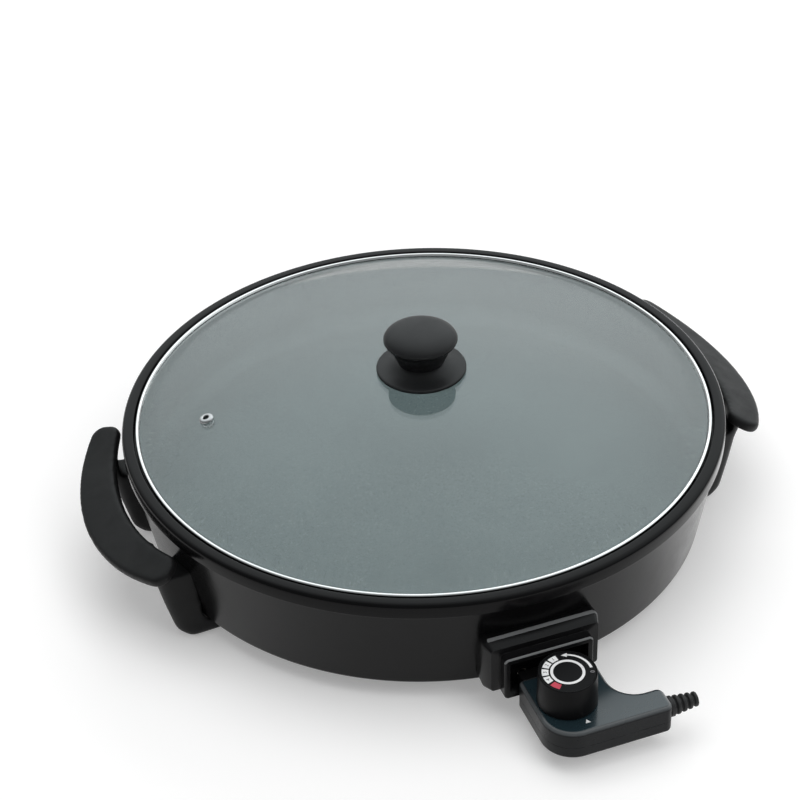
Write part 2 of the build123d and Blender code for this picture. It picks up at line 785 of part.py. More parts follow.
with BuildPart() as thermostat_base:
    with BuildSketch(Plane.XY.offset(body_bottom)):
        add(housing_outer)
    extrude(amount=parting_z - body_bottom)
    fillet(thermostat_base.faces().sort_by(Axis.Z)[0].edges(), bottom_edge)
    with BuildSketch(Plane.XY.offset(body_bottom + shell_t)):
        add(housing_inner)
    extrude(amount=parting_z - body_bottom, mode=Mode.SUBTRACT)
    with BuildSketch(Plane.XY.offset(body_bottom + shell_t / 2)):
        with Locations(*boss_places):
            Circle(boss_r)
    extrude(amount=parting_z - body_bottom - shell_t / 2)
    with BuildSketch(Plane.XY.offset(body_bottom)):
        with Locations(*boss_places):
            Circle(small_screw_r + boss_hole_clear)
    extrude(amount=parting_z - body_bottom, mode=Mode.SUBTRACT)
    with BuildSketch(Plane.XY.offset(body_bottom)):
        with Locations(*boss_places):
            Circle(small_head_r + boss_hole_clear)
    extrude(amount=small_head_h + boss_hole_clear, mode=Mode.SUBTRACT)
    with BuildSketch(relief_plane.offset(-2 * shell_t)):
        Circle(relief_neck_r + relief_clear)
    extrude(amount=4 * shell_t, mode=Mode.SUBTRACT)
thermostat_base.part.label = "thermostat_base"
export_step(thermostat_base.part, "parts/thermostat_base.step")

with BuildPart() as housing_screws:
    head_z = body_bottom + boss_hole_clear
    with BuildSketch(Plane.XY.offset(head_z)):
        with Locations(*boss_places):
            Circle(small_head_r)
    extrude(amount=small_head_h)
    with BuildSketch(Plane.XY.offset(head_z + small_head_h)):
        with Locations(*boss_places):
            Circle(small_screw_r)
    extrude(amount=body_top - 2 * shell_t - head_z - small_head_h)
housing_screws.part.label = "housing_screws"
export_step(housing_screws.part, "parts/housing_screws.step")

# Plug nose: the block that holds the two contact sleeves and the probe
nose_y = socket_y + nose_front_gap
nose_root_y = -rear_y + shell_t
nose_back_y = nose_root_y + nose_clear + nose_flange_t
sleeve_r = pin_r + pin_clear + sleeve_wall
with BuildPart() as terminal_carrier:
    with BuildSketch(Plane.XZ.offset(nose_y)):
        with Locations((0, -nose_top_drop)):
            Rectangle(
                2 * nose_half, nose_bottom_drop - nose_top_drop, align=(Align.CENTER, Align.MAX)
            )
    extrude(amount=nose_back_y - nose_y)
    fillet(terminal_carrier.faces().sort_by(Axis.Y)[-1].edges(), shroud_edge)
    with BuildSketch(Plane.XZ.offset(nose_root_y + nose_clear)):
        with Locations((0, -body_top_drop - shell_t - nose_clear)):
            Rectangle(
                2 * (nose_half + nose_flange_over),
                parting_drop - body_top_drop,
                align=(Align.CENTER, Align.MAX),
            )
    extrude(amount=nose_flange_t)
    with BuildSketch(Plane.XZ.offset(nose_y)):
        with Locations((-terminal_x, terminal_z), (terminal_x, terminal_z)):
            Circle(sleeve_r + sleeve_fit)
    extrude(amount=nose_back_y - nose_y, mode=Mode.SUBTRACT)
    with BuildSketch(Plane.XZ.offset(nose_y)):
        with Locations((0, terminal_z)):
            Circle(probe_r + sleeve_fit)
    extrude(amount=probe_hold, mode=Mode.SUBTRACT)
terminal_carrier.part.label = "terminal_carrier"
export_step(terminal_carrier.part, "parts/terminal_carrier.step")

with BuildPart() as contact_sleeves:
    with BuildSketch(Plane.XZ.offset(nose_y)):
        with Locations((-terminal_x, terminal_z), (terminal_x, terminal_z)):
            Circle(sleeve_r)
            Circle(pin_r + pin_clear, mode=Mode.SUBTRACT)
    extrude(amount=nose_back_y - nose_y)
contact_sleeves.part.label = "contact_sleeves"
export_step(contact_sleeves.part, "parts/contact_sleeves.step")

probe_tip_y = well_y + 2 * probe_tip_gap
with BuildPart() as probe_rod:
    with BuildSketch(Plane.XZ.offset(probe_tip_y)):
        with Locations((0, terminal_z)):
            Circle(probe_r)
    extrude(amount=nose_y + probe_hold - probe_tip_y)
    fillet(probe_rod.faces().sort_by(Axis.Y)[-1].edges(), probe_r * 0.6)
probe_rod.part.label = "probe_rod"
export_step(probe_rod.part, "parts/probe_rod.step")

# Switch: a bracket on the carrier with the spindle's bush, and two contact blades
frame_z = body_top - shell_t - frame_top_gap
frame_end_y = -dial_y + frame_past
with BuildPart() as switch_frame:
    with BuildSketch(Plane.XY.offset(frame_z - frame_t)):
        with Locations((0, -nose_back_y)):
            Rectangle(frame_w, frame_end_y - nose_back_y, align=(Align.CENTER, Align.MAX))
        with Locations((0, dial_y)):
            Circle(bush_r + thread_clear, mode=Mode.SUBTRACT)
    extrude(amount=frame_t)
    with BuildSketch(Plane.XZ.offset(nose_back_y)):
        with Locations((0, frame_z)):
            Rectangle(frame_w, frame_z - terminal_z - probe_r, align=(Align.CENTER, Align.MAX))
    extrude(amount=frame_t)
switch_frame.part.label = "switch_frame"
export_step(switch_frame.part, "parts/switch_frame.step")

with BuildPart() as spindle_bush:
    with BuildSketch(Plane.XY.offset(frame_z - frame_t - bush_flange_t)):
        with Locations((0, dial_y)):
            Circle(bush_flange_r)
    extrude(amount=bush_flange_t)
    with BuildSketch(Plane.XY.offset(frame_z - frame_t)):
        with Locations((0, dial_y)):
            Circle(bush_r)
    extrude(amount=body_top - frame_z + frame_t)
    with BuildSketch(Plane.XY.offset(frame_z - frame_t - bush_flange_t)):
        with Locations((0, dial_y)):
            Circle(spindle_r + spindle_fit)
    extrude(amount=body_top - body_bottom, mode=Mode.SUBTRACT)
spindle_bush.part.label = "spindle_bush"
export_step(spindle_bush.part, "parts/spindle_bush.step")

upper_blade_z = parting_z
lower_blade_z = upper_blade_z - blade_pitch
with BuildPart() as contact_blades:
    for blade_z in (upper_blade_z, lower_blade_z):
        with BuildSketch(Plane.XY.offset(blade_z)):
            with Locations((0, -nose_back_y)):
                Rectangle(
                    blade_strip_w, frame_end_y - nose_back_y, align=(Align.CENTER, Align.MAX)
                )
        extrude(amount=-blade_strip_t)
    with BuildSketch(Plane.XY.offset(lower_blade_z)):
        with Locations((0, -frame_end_y + 2 * contact_r)):
            Circle(contact_r)
    extrude(amount=blade_pitch / 3)
contact_blades.part.label = "contact_blades"
export_step(contact_blades.part, "parts/contact_blades.step")

with BuildPart() as blade_insulators:
    stack_top = terminal_z - probe_r - frame_t
    layers = [
        (upper_blade_z, stack_top),
        (lower_blade_z, upper_blade_z - blade_strip_t),
        (body_bottom + shell_t, lower_blade_z - blade_strip_t),
    ]
    for low, high in layers:
        with BuildSketch(Plane.XY.offset(low)):
            with Locations((0, -nose_back_y)):
                Rectangle(2 * blade_strip_w, stack_d, align=(Align.CENTER, Align.MAX))
        extrude(amount=high - low)
blade_insulators.part.label = "blade_insulators"
export_step(blade_insulators.part, "parts/blade_insulators.step")

# Dial: a hollow knob, its printed face and the spindle that carries it
dial_z = body_top + dial_gap
dial_top = dial_z + dial_h
seat_top = dial_top - face_sink - face_t
with BuildPart() as dial_knob:
    with BuildSketch(Plane((0, dial_y, dial_z))):
        Circle(dial_r)
    extrude(amount=dial_h, taper=dial_taper)
    fillet(dial_knob.faces().sort_by(Axis.Z)[-1].edges(), dial_edge)
    with BuildSketch(Plane((0, dial_y, seat_top))):
        Circle(face_r + face_clear)
    extrude(amount=dial_h, mode=Mode.SUBTRACT)
    with BuildSketch(Plane((0, dial_y, dial_z))):
        Circle(dial_r - dial_wall)
        Circle(bush_r + dial_wall, mode=Mode.SUBTRACT)
    extrude(amount=seat_top - dial_z - dial_wall, mode=Mode.SUBTRACT)
    with BuildSketch(Plane((0, dial_y, dial_z))):
        Circle(spindle_r + spindle_fit)
    extrude(amount=seat_top - dial_z - dial_wall, mode=Mode.SUBTRACT)
dial_knob.part.label = "dial_knob"
export_step(dial_knob.part, "parts/dial_knob.step")

with BuildPart() as dial_face:
    with BuildSketch(Plane((0, dial_y, seat_top))):
        Circle(face_r)
    extrude(amount=face_t)
dial_face.part.label = "dial_face"
export_step(dial_face.part, "parts/dial_face.step")

with BuildPart() as dial_spindle:
    spindle_low = upper_blade_z + spindle_tip_gap
    with BuildSketch(Plane((0, dial_y, spindle_low))):
        Circle(spindle_r)
    extrude(amount=seat_top - dial_wall - spindle_tip_gap - spindle_low)
    fillet(dial_spindle.edges().sort_by(Axis.Z)[:1], spindle_r / 2)
dial_spindle.part.label = "dial_spindle"
export_step(dial_spindle.part, "parts/dial_spindle.step")

# Indicator lamp in the housing's top, behind the dial
with BuildPart() as indicator_lamp:
    with BuildSketch(Plane((*lamp_place, body_top - shell_t - lamp_flange_t))):
        Circle(lamp_flange_r)
    extrude(amount=lamp_flange_t)
    with BuildSketch(Plane((*lamp_place, body_top - shell_t))):
        Circle(lamp_r)
    extrude(amount=shell_t + lamp_proud)
    fillet(indicator_lamp.edges().sort_by(Axis.Z)[-1:], lamp_proud / 2)
indicator_lamp.part.label = "indicator_lamp"
export_step(indicator_lamp.part, "parts/indicator_lamp.step")

# Strain relief: a ribbed sleeve held in the end of the arm
with BuildPart() as strain_relief:
    rib_pitch = (relief_len - relief_collar) / relief_ribs
    with BuildSketch(relief_plane.offset(-shell_t - relief_flange)):
        Circle(relief_flange_r)
    extrude(amount=relief_flange - relief_clear)
    with BuildSketch(relief_plane.offset(-shell_t - relief_flange)):
        Circle(relief_neck_r)
    extrude(amount=shell_t + relief_flange + 2 * relief_clear)
    with BuildSketch(relief_plane.offset(relief_clear)):
        Circle(relief_root_r)
    extrude(amount=relief_collar)
    for rib in range(relief_ribs):
        rib_r = relief_root_r + (relief_tip_r - relief_root_r) * (rib + 1) / relief_ribs
        rib_start = relief_collar + rib * rib_pitch
        with BuildSketch(relief_plane.offset(rib_start)):
            Circle(rib_r - rib_pitch / 4)
        extrude(amount=rib_pitch)
        with BuildSketch(relief_plane.offset(rib_start + rib_pitch / 2)):
            Circle(rib_r)
        extrude(amount=rib_pitch / 2)
    with BuildSketch(relief_plane.offset(-shell_t - relief_flange)):
        Circle(relief_bore_r)
    extrude(amount=2 * relief_len, mode=Mode.SUBTRACT)
strain_relief.part.label = "strain_relief"
export_step(strain_relief.part, "parts/strain_relief.step")
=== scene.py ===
# %% [markdown]
# # An electric pan, dressed over its CAD frame
# The imported CAD model holds every solid of the pan in its place, in metres. This lesson gives
# those solids their finishes and replaces some of them with softer, finer shapes. The frame is
# loaded first.

# %% load the frame
from math import asin, cos, pi, radians, sin, sqrt

import bmesh
import bpy
from mathutils import Matrix, Vector


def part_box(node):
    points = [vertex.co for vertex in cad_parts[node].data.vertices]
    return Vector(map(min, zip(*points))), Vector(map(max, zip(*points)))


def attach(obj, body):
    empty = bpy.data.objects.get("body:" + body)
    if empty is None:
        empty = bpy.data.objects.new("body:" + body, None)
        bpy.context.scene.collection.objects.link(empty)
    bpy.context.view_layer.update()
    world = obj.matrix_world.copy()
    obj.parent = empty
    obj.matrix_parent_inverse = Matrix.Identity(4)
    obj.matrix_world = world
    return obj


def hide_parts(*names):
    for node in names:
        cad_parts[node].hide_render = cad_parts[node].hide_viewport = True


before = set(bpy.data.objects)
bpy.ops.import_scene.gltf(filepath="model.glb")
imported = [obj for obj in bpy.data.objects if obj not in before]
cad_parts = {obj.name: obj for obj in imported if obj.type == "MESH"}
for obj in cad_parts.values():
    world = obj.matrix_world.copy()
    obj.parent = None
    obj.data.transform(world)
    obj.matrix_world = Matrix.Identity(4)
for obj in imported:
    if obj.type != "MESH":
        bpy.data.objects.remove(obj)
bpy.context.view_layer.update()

MM = 0.001
print("CAD nodes:", len(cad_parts))

# %% [markdown]
# ## Camera
# The photograph looks down on the pan from the front left, with a fairly long lens. The angles
# below were found by laying the rim's circle over the rim in the picture. A camera could be aimed
# with a Track To constraint, but a plain matrix also holds the small roll of the picture.

# %% camera
view_turn, view_fall, view_roll = radians(-18.9), radians(36.02), radians(-2.314)
view_far, view_side, view_aim_z = 1.3293, -0.014916, 0.059498
level_right = Vector((cos(view_turn), sin(view_turn), 0))
backward = Vector((
    sin(view_turn) * cos(view_fall), -cos(view_turn) * cos(view_fall), sin(view_fall),
))
level_up = backward.cross(level_right)
right = cos(view_roll) * level_right + sin(view_roll) * level_up
upward = cos(view_roll) * level_up - sin(view_roll) * level_right
eye = level_right * view_side + Vector((0, 0, view_aim_z)) + backward * view_far

bpy.ops.object.camera_add()
camera = bpy.context.object
camera.name = "photo_camera"
camera.data.lens = 90
camera.data.sensor_width = 36
camera.matrix_world = Matrix((
    (right.x, upward.x, backward.x, eye.x),
    (right.y, upward.y, backward.y, eye.y),
    (right.z, upward.z, backward.z, eye.z),
    (0, 0, 0, 1),
))
bpy.context.scene.camera = camera
print("camera at", [round(v, 3) for v in eye])

# %% [markdown]
# ## Nodes in short form
# A material is a graph of nodes, and a few helpers keep the cells short. One places a node and
# fills in its sockets: a value is set, a socket is linked. Four wrap what comes up most: a sum, a
# blend of two colours, a value spread over a range, and the distance from the pan's axis. The others
# start a material with its Principled shader, start a shared group with named sockets, and place
# such a group in a material.

# %% node helpers
def place(tree, kind, settings=None, **sockets):
    node = tree.nodes.new("ShaderNode" + kind)
    for key, value in (settings or {}).items():
        setattr(node, key, value)
    for key, value in sockets.items():
        index = int(key[1:]) if key[0] == "n" and key[1:].isdigit() else key.replace("_", " ")
        if isinstance(value, bpy.types.NodeSocket):
            tree.links.new(value, node.inputs[index])
        else:
            node.inputs[index].default_value = value
    return node


def maths(tree, operation, first, second=0.0, third=0.0):
    return place(tree, "Math", {"operation": operation}, n0=first, n1=second, n2=third).outputs[0]


def blend(tree, share, low, high):
    node = place(tree, "Mix", {"data_type": "RGBA"})
    for index, value in ((0, share), (6, low), (7, high)):
        if isinstance(value, bpy.types.NodeSocket):
            tree.links.new(value, node.inputs[index])
        else:
            node.inputs[index].default_value = value
    return node.outputs[2]


def spread(tree, value, low, high, to_low=0.0, to_high=1.0):
    node = place(tree, "MapRange", {"clamp": True},
                 n0=value, n1=low, n2=high, n3=to_low, n4=to_high)
    return node.outputs[0]


def from_axis(tree, along):
    squares = [maths(tree, "MULTIPLY", along[axis], along[axis]) for axis in (0, 1)]
    return maths(tree, "SQRT", maths(tree, "ADD", *squares))


def start_finish(name, base, roughness):
    material = bpy.data.materials.new(name)
    material.use_nodes = True
    tree = material.node_tree
    shader = tree.nodes["Principled BSDF"]
    shader.inputs["Base Color"].default_value = (*base, 1)
    shader.inputs["Roughness"].default_value = roughness
    return material, tree, shader


def start_group(name, wanted, given):
    group = bpy.data.node_groups.new(name, "ShaderNodeTree")
    for label, value in wanted:
        socket = group.interface.new_socket(label, in_out="INPUT", socket_type="NodeSocketFloat")
        socket.default_value = value
    for label in given:
        group.interface.new_socket(label, in_out="OUTPUT", socket_type="NodeSocketFloat")
    given_sockets = group.nodes.new("NodeGroupInput").outputs
    return group, given_sockets, group.nodes.new("NodeGroupOutput").inputs


def use_group(tree, group, **values):
    node = tree.nodes.new("ShaderNodeGroup")
    node.node_tree = group
    for label, value in values.items():
        node.inputs[label.replace("_", " ")].default_value = value
    return node.outputs


# %% [markdown]
# ## Floor and light
# The pan stands on a plain pale floor under soft light: a wide softbox over it, one behind on the
# right and a smaller one high in front. They would show as squares in the lid, so they give light
# and no reflections, and what shines shows the room instead, which brightens smoothly towards a
# window high up behind the pan and darkens towards the ground. The floor is lifted to white for the
# camera and a little in reflections, most on the right, like a white card that brightens the wall's
# shine there. It stays a floor for everything else, so it still takes the pan's soft shadow.

# %% floor
worktop = -0.035
bpy.ops.object.select_all(action="DESELECT")
bpy.ops.mesh.primitive_plane_add(size=60, location=(0, 0, worktop - 0.0003))
floor = bpy.context.object
floor.name = "studio_floor"
floor_white, tree, shader = start_finish("floor_white", (0.82, 0.82, 0.82), 0.85)
ray = place(tree, "LightPath").outputs
seen = maths(tree, "MAXIMUM", ray["Is Camera Ray"], ray["Is Transmission Ray"])
spot = place(tree, "TexCoord").outputs["Object"]
far_off = place(tree, "VectorMath", {"operation": "LENGTH"}, n0=spot).outputs["Value"]
to_right = place(tree, "SeparateXYZ", Vector=spot).outputs[0]
floor_lift = maths(tree, "MULTIPLY", seen, spread(tree, far_off, 0.7, 3.5, 0.25, 0.85))
card_edge = spread(tree, to_right, 0.12, 0.32)
white_card = maths(tree, "MULTIPLY", card_edge, spread(tree, far_off, 0.9, 0.5))
card_lift = maths(tree, "ADD", white_card, spread(tree, far_off, 0.7, 2.5, 0.25, 0.12))
mirror_lift = maths(tree, "MULTIPLY", ray["Is Glossy Ray"], card_lift)
shader.inputs["Emission Color"].default_value = (1, 1, 1, 1)
tree.links.new(maths(tree, "ADD", floor_lift, mirror_lift), shader.inputs["Emission Strength"])
floor.data.materials.append(floor_white)
print("floor at", worktop)

# %% lamps and surroundings
def softbox(name, size, power, place_at, aim_at):
    bpy.ops.object.light_add(type="AREA", location=place_at)
    lamp = bpy.context.object
    lamp.name = name
    lamp.data.shape = "RECTANGLE"
    lamp.data.size, lamp.data.size_y = size
    lamp.data.energy = power
    lamp.rotation_euler = (Vector(aim_at) - Vector(place_at)).to_track_quat("-Z", "Y").to_euler()
    lamp.visible_glossy = False
    lamp.visible_transmission = False


softbox("softbox_over", (1.5, 1.5), 13, (-0.1, 0.0, 1.7), (0, 0, 0))
softbox("softbox_behind", (1.4, 0.8), 8, (0.7, 1.5, 1.1), (0, 0, 0.05))
softbox("softbox_front", (0.9, 0.9), 7, (0.45, -1.15, 1.45), (0, -0.15, 0.0))

world = bpy.data.worlds.new("studio")
bpy.context.scene.world = world
world.use_nodes = True
tree = world.node_tree
ray = place(tree, "LightPath").outputs
look = place(tree, "TexCoord").outputs["Generated"]
window_side = Vector((0.60, 0.65, 0.47)).normalized()
facing_window = place(tree, "VectorMath", {"operation": "DOT_PRODUCT"}, n0=look, n1=window_side)
toward = facing_window.outputs["Value"]
climb = spread(tree, place(tree, "SeparateXYZ", Vector=look).outputs[2], 0.0, 0.45, 0.3, 1.0)
sheen = maths(tree, "MULTIPLY", climb, spread(tree, toward, 0.0, 1.0, 0.28, 1.9))
seen = maths(tree, "MAXIMUM", ray["Is Camera Ray"], ray["Is Transmission Ray"])
room_light = 0.45
strength = spread(tree, ray["Is Glossy Ray"], 0, 1, room_light, sheen)
strength = spread(tree, seen, 0, 1, strength, 1.0)
tree.links.new(strength, tree.nodes["Background"].inputs["Strength"])
tree.links.new(blend(tree, ray["Is Glossy Ray"], (1, 1, 1, 1), (0.93, 0.985, 1.0, 1)),
               tree.nodes["Background"].inputs["Color"])
bpy.context.scene.view_settings.view_transform = "Standard"

# %% [markdown]
# ## Shared effects
# Several finishes need the same few effects, so each is a node group. The moulded skin is the
# fine texture that a mould or a spray coat leaves. The lathe lines are the rings that turning or
# rolling leaves round the pan's axis. The handled haze is the uneven dullness left by hands and
# cloths. The worn edge compares the true normal with a bevelled one, so it is bright only where
# two faces meet. All of them read Object coordinates, because every piece sits at the origin.

# %% moulded skin
skin, given, out = start_group("moulded_skin", [("Grain Size", 0.6)], ["Height", "Tone"])
spot = place(skin, "TexCoord").outputs["Object"]
fineness = maths(skin, "DIVIDE", 1000.0, given["Grain Size"])
grain = place(skin, "TexNoise", Vector=spot, Scale=fineness, Detail=3.0, Roughness=0.6).outputs[0]
pits = place(skin, "TexVoronoi", Vector=spot, Scale=fineness, Randomness=1.0).outputs["Distance"]
skin.links.new(maths(skin, "MULTIPLY_ADD", pits, 0.35, grain), out["Height"])
flow = place(skin, "TexNoise", Vector=spot, Scale=14.0, Detail=5.0, Roughness=0.62).outputs[0]
skin.links.new(spread(skin, flow, 0.3, 0.72), out["Tone"])
print("group:", skin.name)

# %% lathe lines
lathe, given, out = start_group("lathe_lines", [("Line Pitch", 0.5)], ["Height", "Tone"])
spot = place(lathe, "TexCoord").outputs["Object"]
along = place(lathe, "SeparateXYZ", Vector=spot).outputs
flat_r = from_axis(lathe, along)
sweep = maths(lathe, "ARCTAN2", along[1], along[0])
rolled = place(lathe, "CombineXYZ", X=flat_r, Y=along[2], Z=maths(lathe, "MULTIPLY", sweep, 0.0006))
fineness = maths(lathe, "DIVIDE", 1000.0, given["Line Pitch"])
lines = place(lathe, "TexNoise", Vector=rolled.outputs[0], Scale=fineness, Detail=2.0).outputs[0]
lathe.links.new(lines, out["Height"])
lathe.links.new(spread(lathe, lines, 0.3, 0.7), out["Tone"])
print("group:", lathe.name)

# %% handled haze
haze, given, out = start_group("handled_haze", [("Patch Size", 30.0)], ["Haze"])
spot = place(haze, "TexCoord").outputs["Object"]
fineness = maths(haze, "DIVIDE", 1000.0, given["Patch Size"])
cloud = place(haze, "TexNoise", Vector=spot, Scale=fineness,
              Detail=6.0, Roughness=0.65, Distortion=0.4)
haze.links.new(spread(haze, cloud.outputs[0], 0.38, 0.7), out["Haze"])
print("group:", haze.name)

# %% worn edge
worn, given, out = start_group("worn_edge", [("Reach", 0.0006)], ["Edge"])
rounded = place(worn, "Bevel", {"samples": 6}, Radius=given["Reach"]).outputs[0]
facing = place(worn, "NewGeometry").outputs["Normal"]
squareness = place(worn, "VectorMath", {"operation": "DOT_PRODUCT"}, n0=rounded, n1=facing)
square = squareness.outputs["Value"]
spot = place(worn, "TexCoord").outputs["Object"]
broken = place(worn, "TexNoise", Vector=spot, Scale=160.0, Detail=4.0).outputs[0]
edge = spread(worn, square, 0.99, 0.86)
worn.links.new(maths(worn, "MULTIPLY", edge, spread(worn, broken, 0.35, 0.65)), out["Edge"])
print("group:", worn.name)

# %% [markdown]
# ## Black mouldings and coats
# Most of what shows is black, and the blacks differ only in how they shine: the handles and the
# socket's guard are matt phenolic, the lid's knob is smoother, the plug's shells are satin plastic,
# and the pan is sprayed. One function makes them all, with a dark base, a paler worn edge, a little
# drift of tone and a bump from the moulded skin. The plug's upper face is polished and its sides
# keep the dull skin of the mould, so its clear coat comes in with the height. A blue-grey tone on
# that upper face is a painted reflection of the bright room, and the rounded edge between top and
# sides, found by how far its normal leans, is painted paler as a painted highlight. The guard's
# foremost edges carry a painted highlight too.

# %% black finishes
def black_finish(name, base, worn_base, rough, rough_drift, grain_size, grain_depth, reach, gloss):
    material, tree, shader = start_finish(name, base, rough)
    skin_out = use_group(tree, skin, Grain_Size=grain_size)
    haze_out = use_group(tree, haze, Patch_Size=32.0)
    edge_out = use_group(tree, worn, Reach=reach)
    lighter = tuple(1.5 * c for c in base)
    tone = blend(tree, skin_out["Tone"], (*base, 1), (*lighter, 1))
    tone = blend(tree, edge_out["Edge"], tone, (*worn_base, 1))
    tree.links.new(tone, shader.inputs["Base Color"])
    dull = maths(tree, "MULTIPLY_ADD", haze_out["Haze"], rough_drift, rough)
    tree.links.new(dull, shader.inputs["Roughness"])
    bump = place(tree, "Bump", Strength=0.35, Distance=grain_depth, Height=skin_out["Height"])
    tree.links.new(bump.outputs[0], shader.inputs["Normal"])
    shader.inputs["Specular IOR Level"].default_value = gloss
    return material


phenolic_black = black_finish(
    "phenolic_black", (0.0055, 0.0056, 0.0058), (0.015, 0.015, 0.0155),
    rough=0.44, rough_drift=0.16, grain_size=0.7, grain_depth=0.00010, reach=0.0008, gloss=0.2)
guard_black = black_finish(
    "guard_black", (0.004, 0.004, 0.0043), (0.03, 0.0305, 0.031),
    rough=0.20, rough_drift=0.08, grain_size=0.7, grain_depth=0.00003, reach=0.0009, gloss=0.18)
knob_black = black_finish(
    "knob_black", (0.0088, 0.0092, 0.0098), (0.016, 0.016, 0.0165),
    rough=0.38, rough_drift=0.12, grain_size=0.9, grain_depth=0.00004, reach=0.0006, gloss=0.24)
shell_black = black_finish(
    "shell_black", (0.005, 0.0056, 0.0064), (0.03, 0.032, 0.034),
    rough=0.24, rough_drift=0.12, grain_size=0.5, grain_depth=0.00004, reach=0.0008, gloss=0.15)
dial_black = black_finish(
    "dial_black", (0.0032, 0.0033, 0.0036), (0.014, 0.014, 0.0145),
    rough=0.33, rough_drift=0.12, grain_size=0.5, grain_depth=0.00004, reach=0.0006, gloss=0.07)
sleeve_rubber = black_finish(
    "sleeve_rubber", (0.012, 0.012, 0.0125), (0.02, 0.02, 0.02),
    rough=0.5, rough_drift=0.15, grain_size=0.4, grain_depth=0.00006, reach=0.0004, gloss=0.4)
gasket_silicone = black_finish(
    "gasket_silicone", (0.03, 0.03, 0.03), (0.04, 0.04, 0.04),
    rough=0.62, rough_drift=0.12, grain_size=0.4, grain_depth=0.00004, reach=0.0004, gloss=0.4)
print("black finishes:", phenolic_black.name, knob_black.name, shell_black.name, dial_black.name)

# %% painted highlights on edges and painted sheen on the plug's upper face
tree = guard_black.node_tree
shader = tree.nodes["Principled BSDF"]
plain_tone = shader.inputs["Base Color"].links[0].from_socket
# Painted highlight: faces marked by an attribute, the guard's foremost edges that face up or to the
# right, take a pale colour where light would catch them.
highlight_edge_mask = place(tree, "Attribute", {"attribute_name": "painted_highlight"}).outputs["Fac"]
painted_highlight_color = (0.15, 0.155, 0.158, 1)
tree.links.new(blend(tree, highlight_edge_mask, plain_tone, painted_highlight_color), shader.inputs["Base Color"])

tree = shell_black.node_tree
shader = tree.nodes["Principled BSDF"]
plain_tone = shader.inputs["Base Color"].links[0].from_socket
height = place(tree, "SeparateXYZ", Vector=place(tree, "TexCoord").outputs["Object"]).outputs[2]
lean = place(tree, "SeparateXYZ", Vector=place(tree, "TexCoord").outputs["Normal"]).outputs[2]
near_top = spread(tree, height, -0.0030, -0.0012)
tree.links.new(near_top, shader.inputs["Coat Weight"])
shader.inputs["Coat Roughness"].default_value = 0.16
# Painted reflection: the flat upper face takes a blue-grey tone where the bright room would mirror
# in it.
sheen_top_mask = maths(tree, "MULTIPLY", spread(tree, lean, 0.97, 0.99), near_top)
# Painted highlight: the rounded edge between top and sides, found by how far its normal leans, takes
# a paler colour.
rounded = maths(tree, "MULTIPLY", spread(tree, lean, 0.985, 0.9), spread(tree, lean, 0.25, 0.55))
rounded = maths(tree, "MULTIPLY", rounded, spread(tree, height, -0.0045, -0.0040))
painted_sheen_tone, painted_edge_highlight_tone = (0.012, 0.0235, 0.0295, 1), (0.066, 0.072, 0.076, 1)
tone = blend(tree, sheen_top_mask, plain_tone, painted_sheen_tone)
tree.links.new(blend(tree, rounded, tone, painted_edge_highlight_tone), shader.inputs["Base Color"])
print("polished:", guard_black.name, shell_black.name)

# %% [markdown]
# ## The pan's two coats
# One casting carries two coats: a satin black outside, and a blue-grey non-stick coat in the dish,
# with fine dark and pale flecks and faint rings from turning. The boundary is the lid's ledge, so
# a mask by radius and height in Object coordinates tells the two apart without cutting the mesh.

# %% pan coats
pan_coats, tree, shader = start_finish("pan_coats", (0.01, 0.01, 0.011), 0.4)
spot = place(tree, "TexCoord").outputs["Object"]
along = place(tree, "SeparateXYZ", Vector=spot).outputs
flat_r = from_axis(tree, along)
ledge_r, below_floor = 0.1896, -0.0012
in_dish = maths(tree, "MULTIPLY", maths(tree, "LESS_THAN", flat_r, ledge_r),
                maths(tree, "GREATER_THAN", along[2], below_floor))
fleck_field = place(tree, "TexVoronoi", Vector=spot, Scale=900.0).outputs
fleck_draw = place(tree, "SeparateColor", Color=fleck_field["Color"]).outputs[0]
dark_fleck = maths(tree, "LESS_THAN", fleck_draw, 0.16)
pale_fleck = maths(tree, "GREATER_THAN", fleck_draw, 0.9)
near_fleck = spread(tree, fleck_field["Distance"], 0.55, 0.3)
skin_out = use_group(tree, skin, Grain_Size=1.1)
lathe_out = use_group(tree, lathe, Line_Pitch=0.9)
haze_out = use_group(tree, haze, Patch_Size=60.0)
edge_out = use_group(tree, worn, Reach=0.0008)
grey_coat = blend(tree, skin_out["Tone"], (0.155, 0.19, 0.195, 1), (0.18, 0.218, 0.222, 1))
dark_tone, pale_tone = (0.11, 0.135, 0.14, 1), (0.25, 0.295, 0.30, 1)
for fleck, fleck_tone in ((dark_fleck, dark_tone), (pale_fleck, pale_tone)):
    grey_coat = blend(tree, maths(tree, "MULTIPLY", fleck, near_fleck), grey_coat, fleck_tone)
black_coat = blend(tree, skin_out["Tone"], (0.0026, 0.0026, 0.0028, 1), (0.0042, 0.0042, 0.0045, 1))
black_coat = blend(tree, edge_out["Edge"], black_coat, (0.012, 0.012, 0.0125, 1))
tree.links.new(blend(tree, in_dish, black_coat, grey_coat), shader.inputs["Base Color"])
dull = maths(tree, "MULTIPLY_ADD", haze_out["Haze"], 0.08, 0.17)
tree.links.new(maths(tree, "MULTIPLY_ADD", in_dish, 0.21, dull), shader.inputs["Roughness"])
shader.inputs["Specular IOR Level"].default_value = 0.11
dish_rings = maths(tree, "MULTIPLY", lathe_out["Height"], in_dish)
coat_height = maths(tree, "MULTIPLY_ADD", dish_rings, 0.8, skin_out["Height"])
bump = place(tree, "Bump", Strength=0.3, Distance=0.00004, Height=coat_height)
tree.links.new(bump.outputs[0], shader.inputs["Normal"])
print("pan coats made")

# %% [markdown]
# ## Metals
# The lid's band, the vent and the pins are polished stainless steel with faint rolling lines. The
# screws, washer and switch frame are zinc-plated, which is greyer, a little yellow and cloudy. The
# plug's contacts are bare brass, and the element's sheath is steel stained brown and blue by heat.

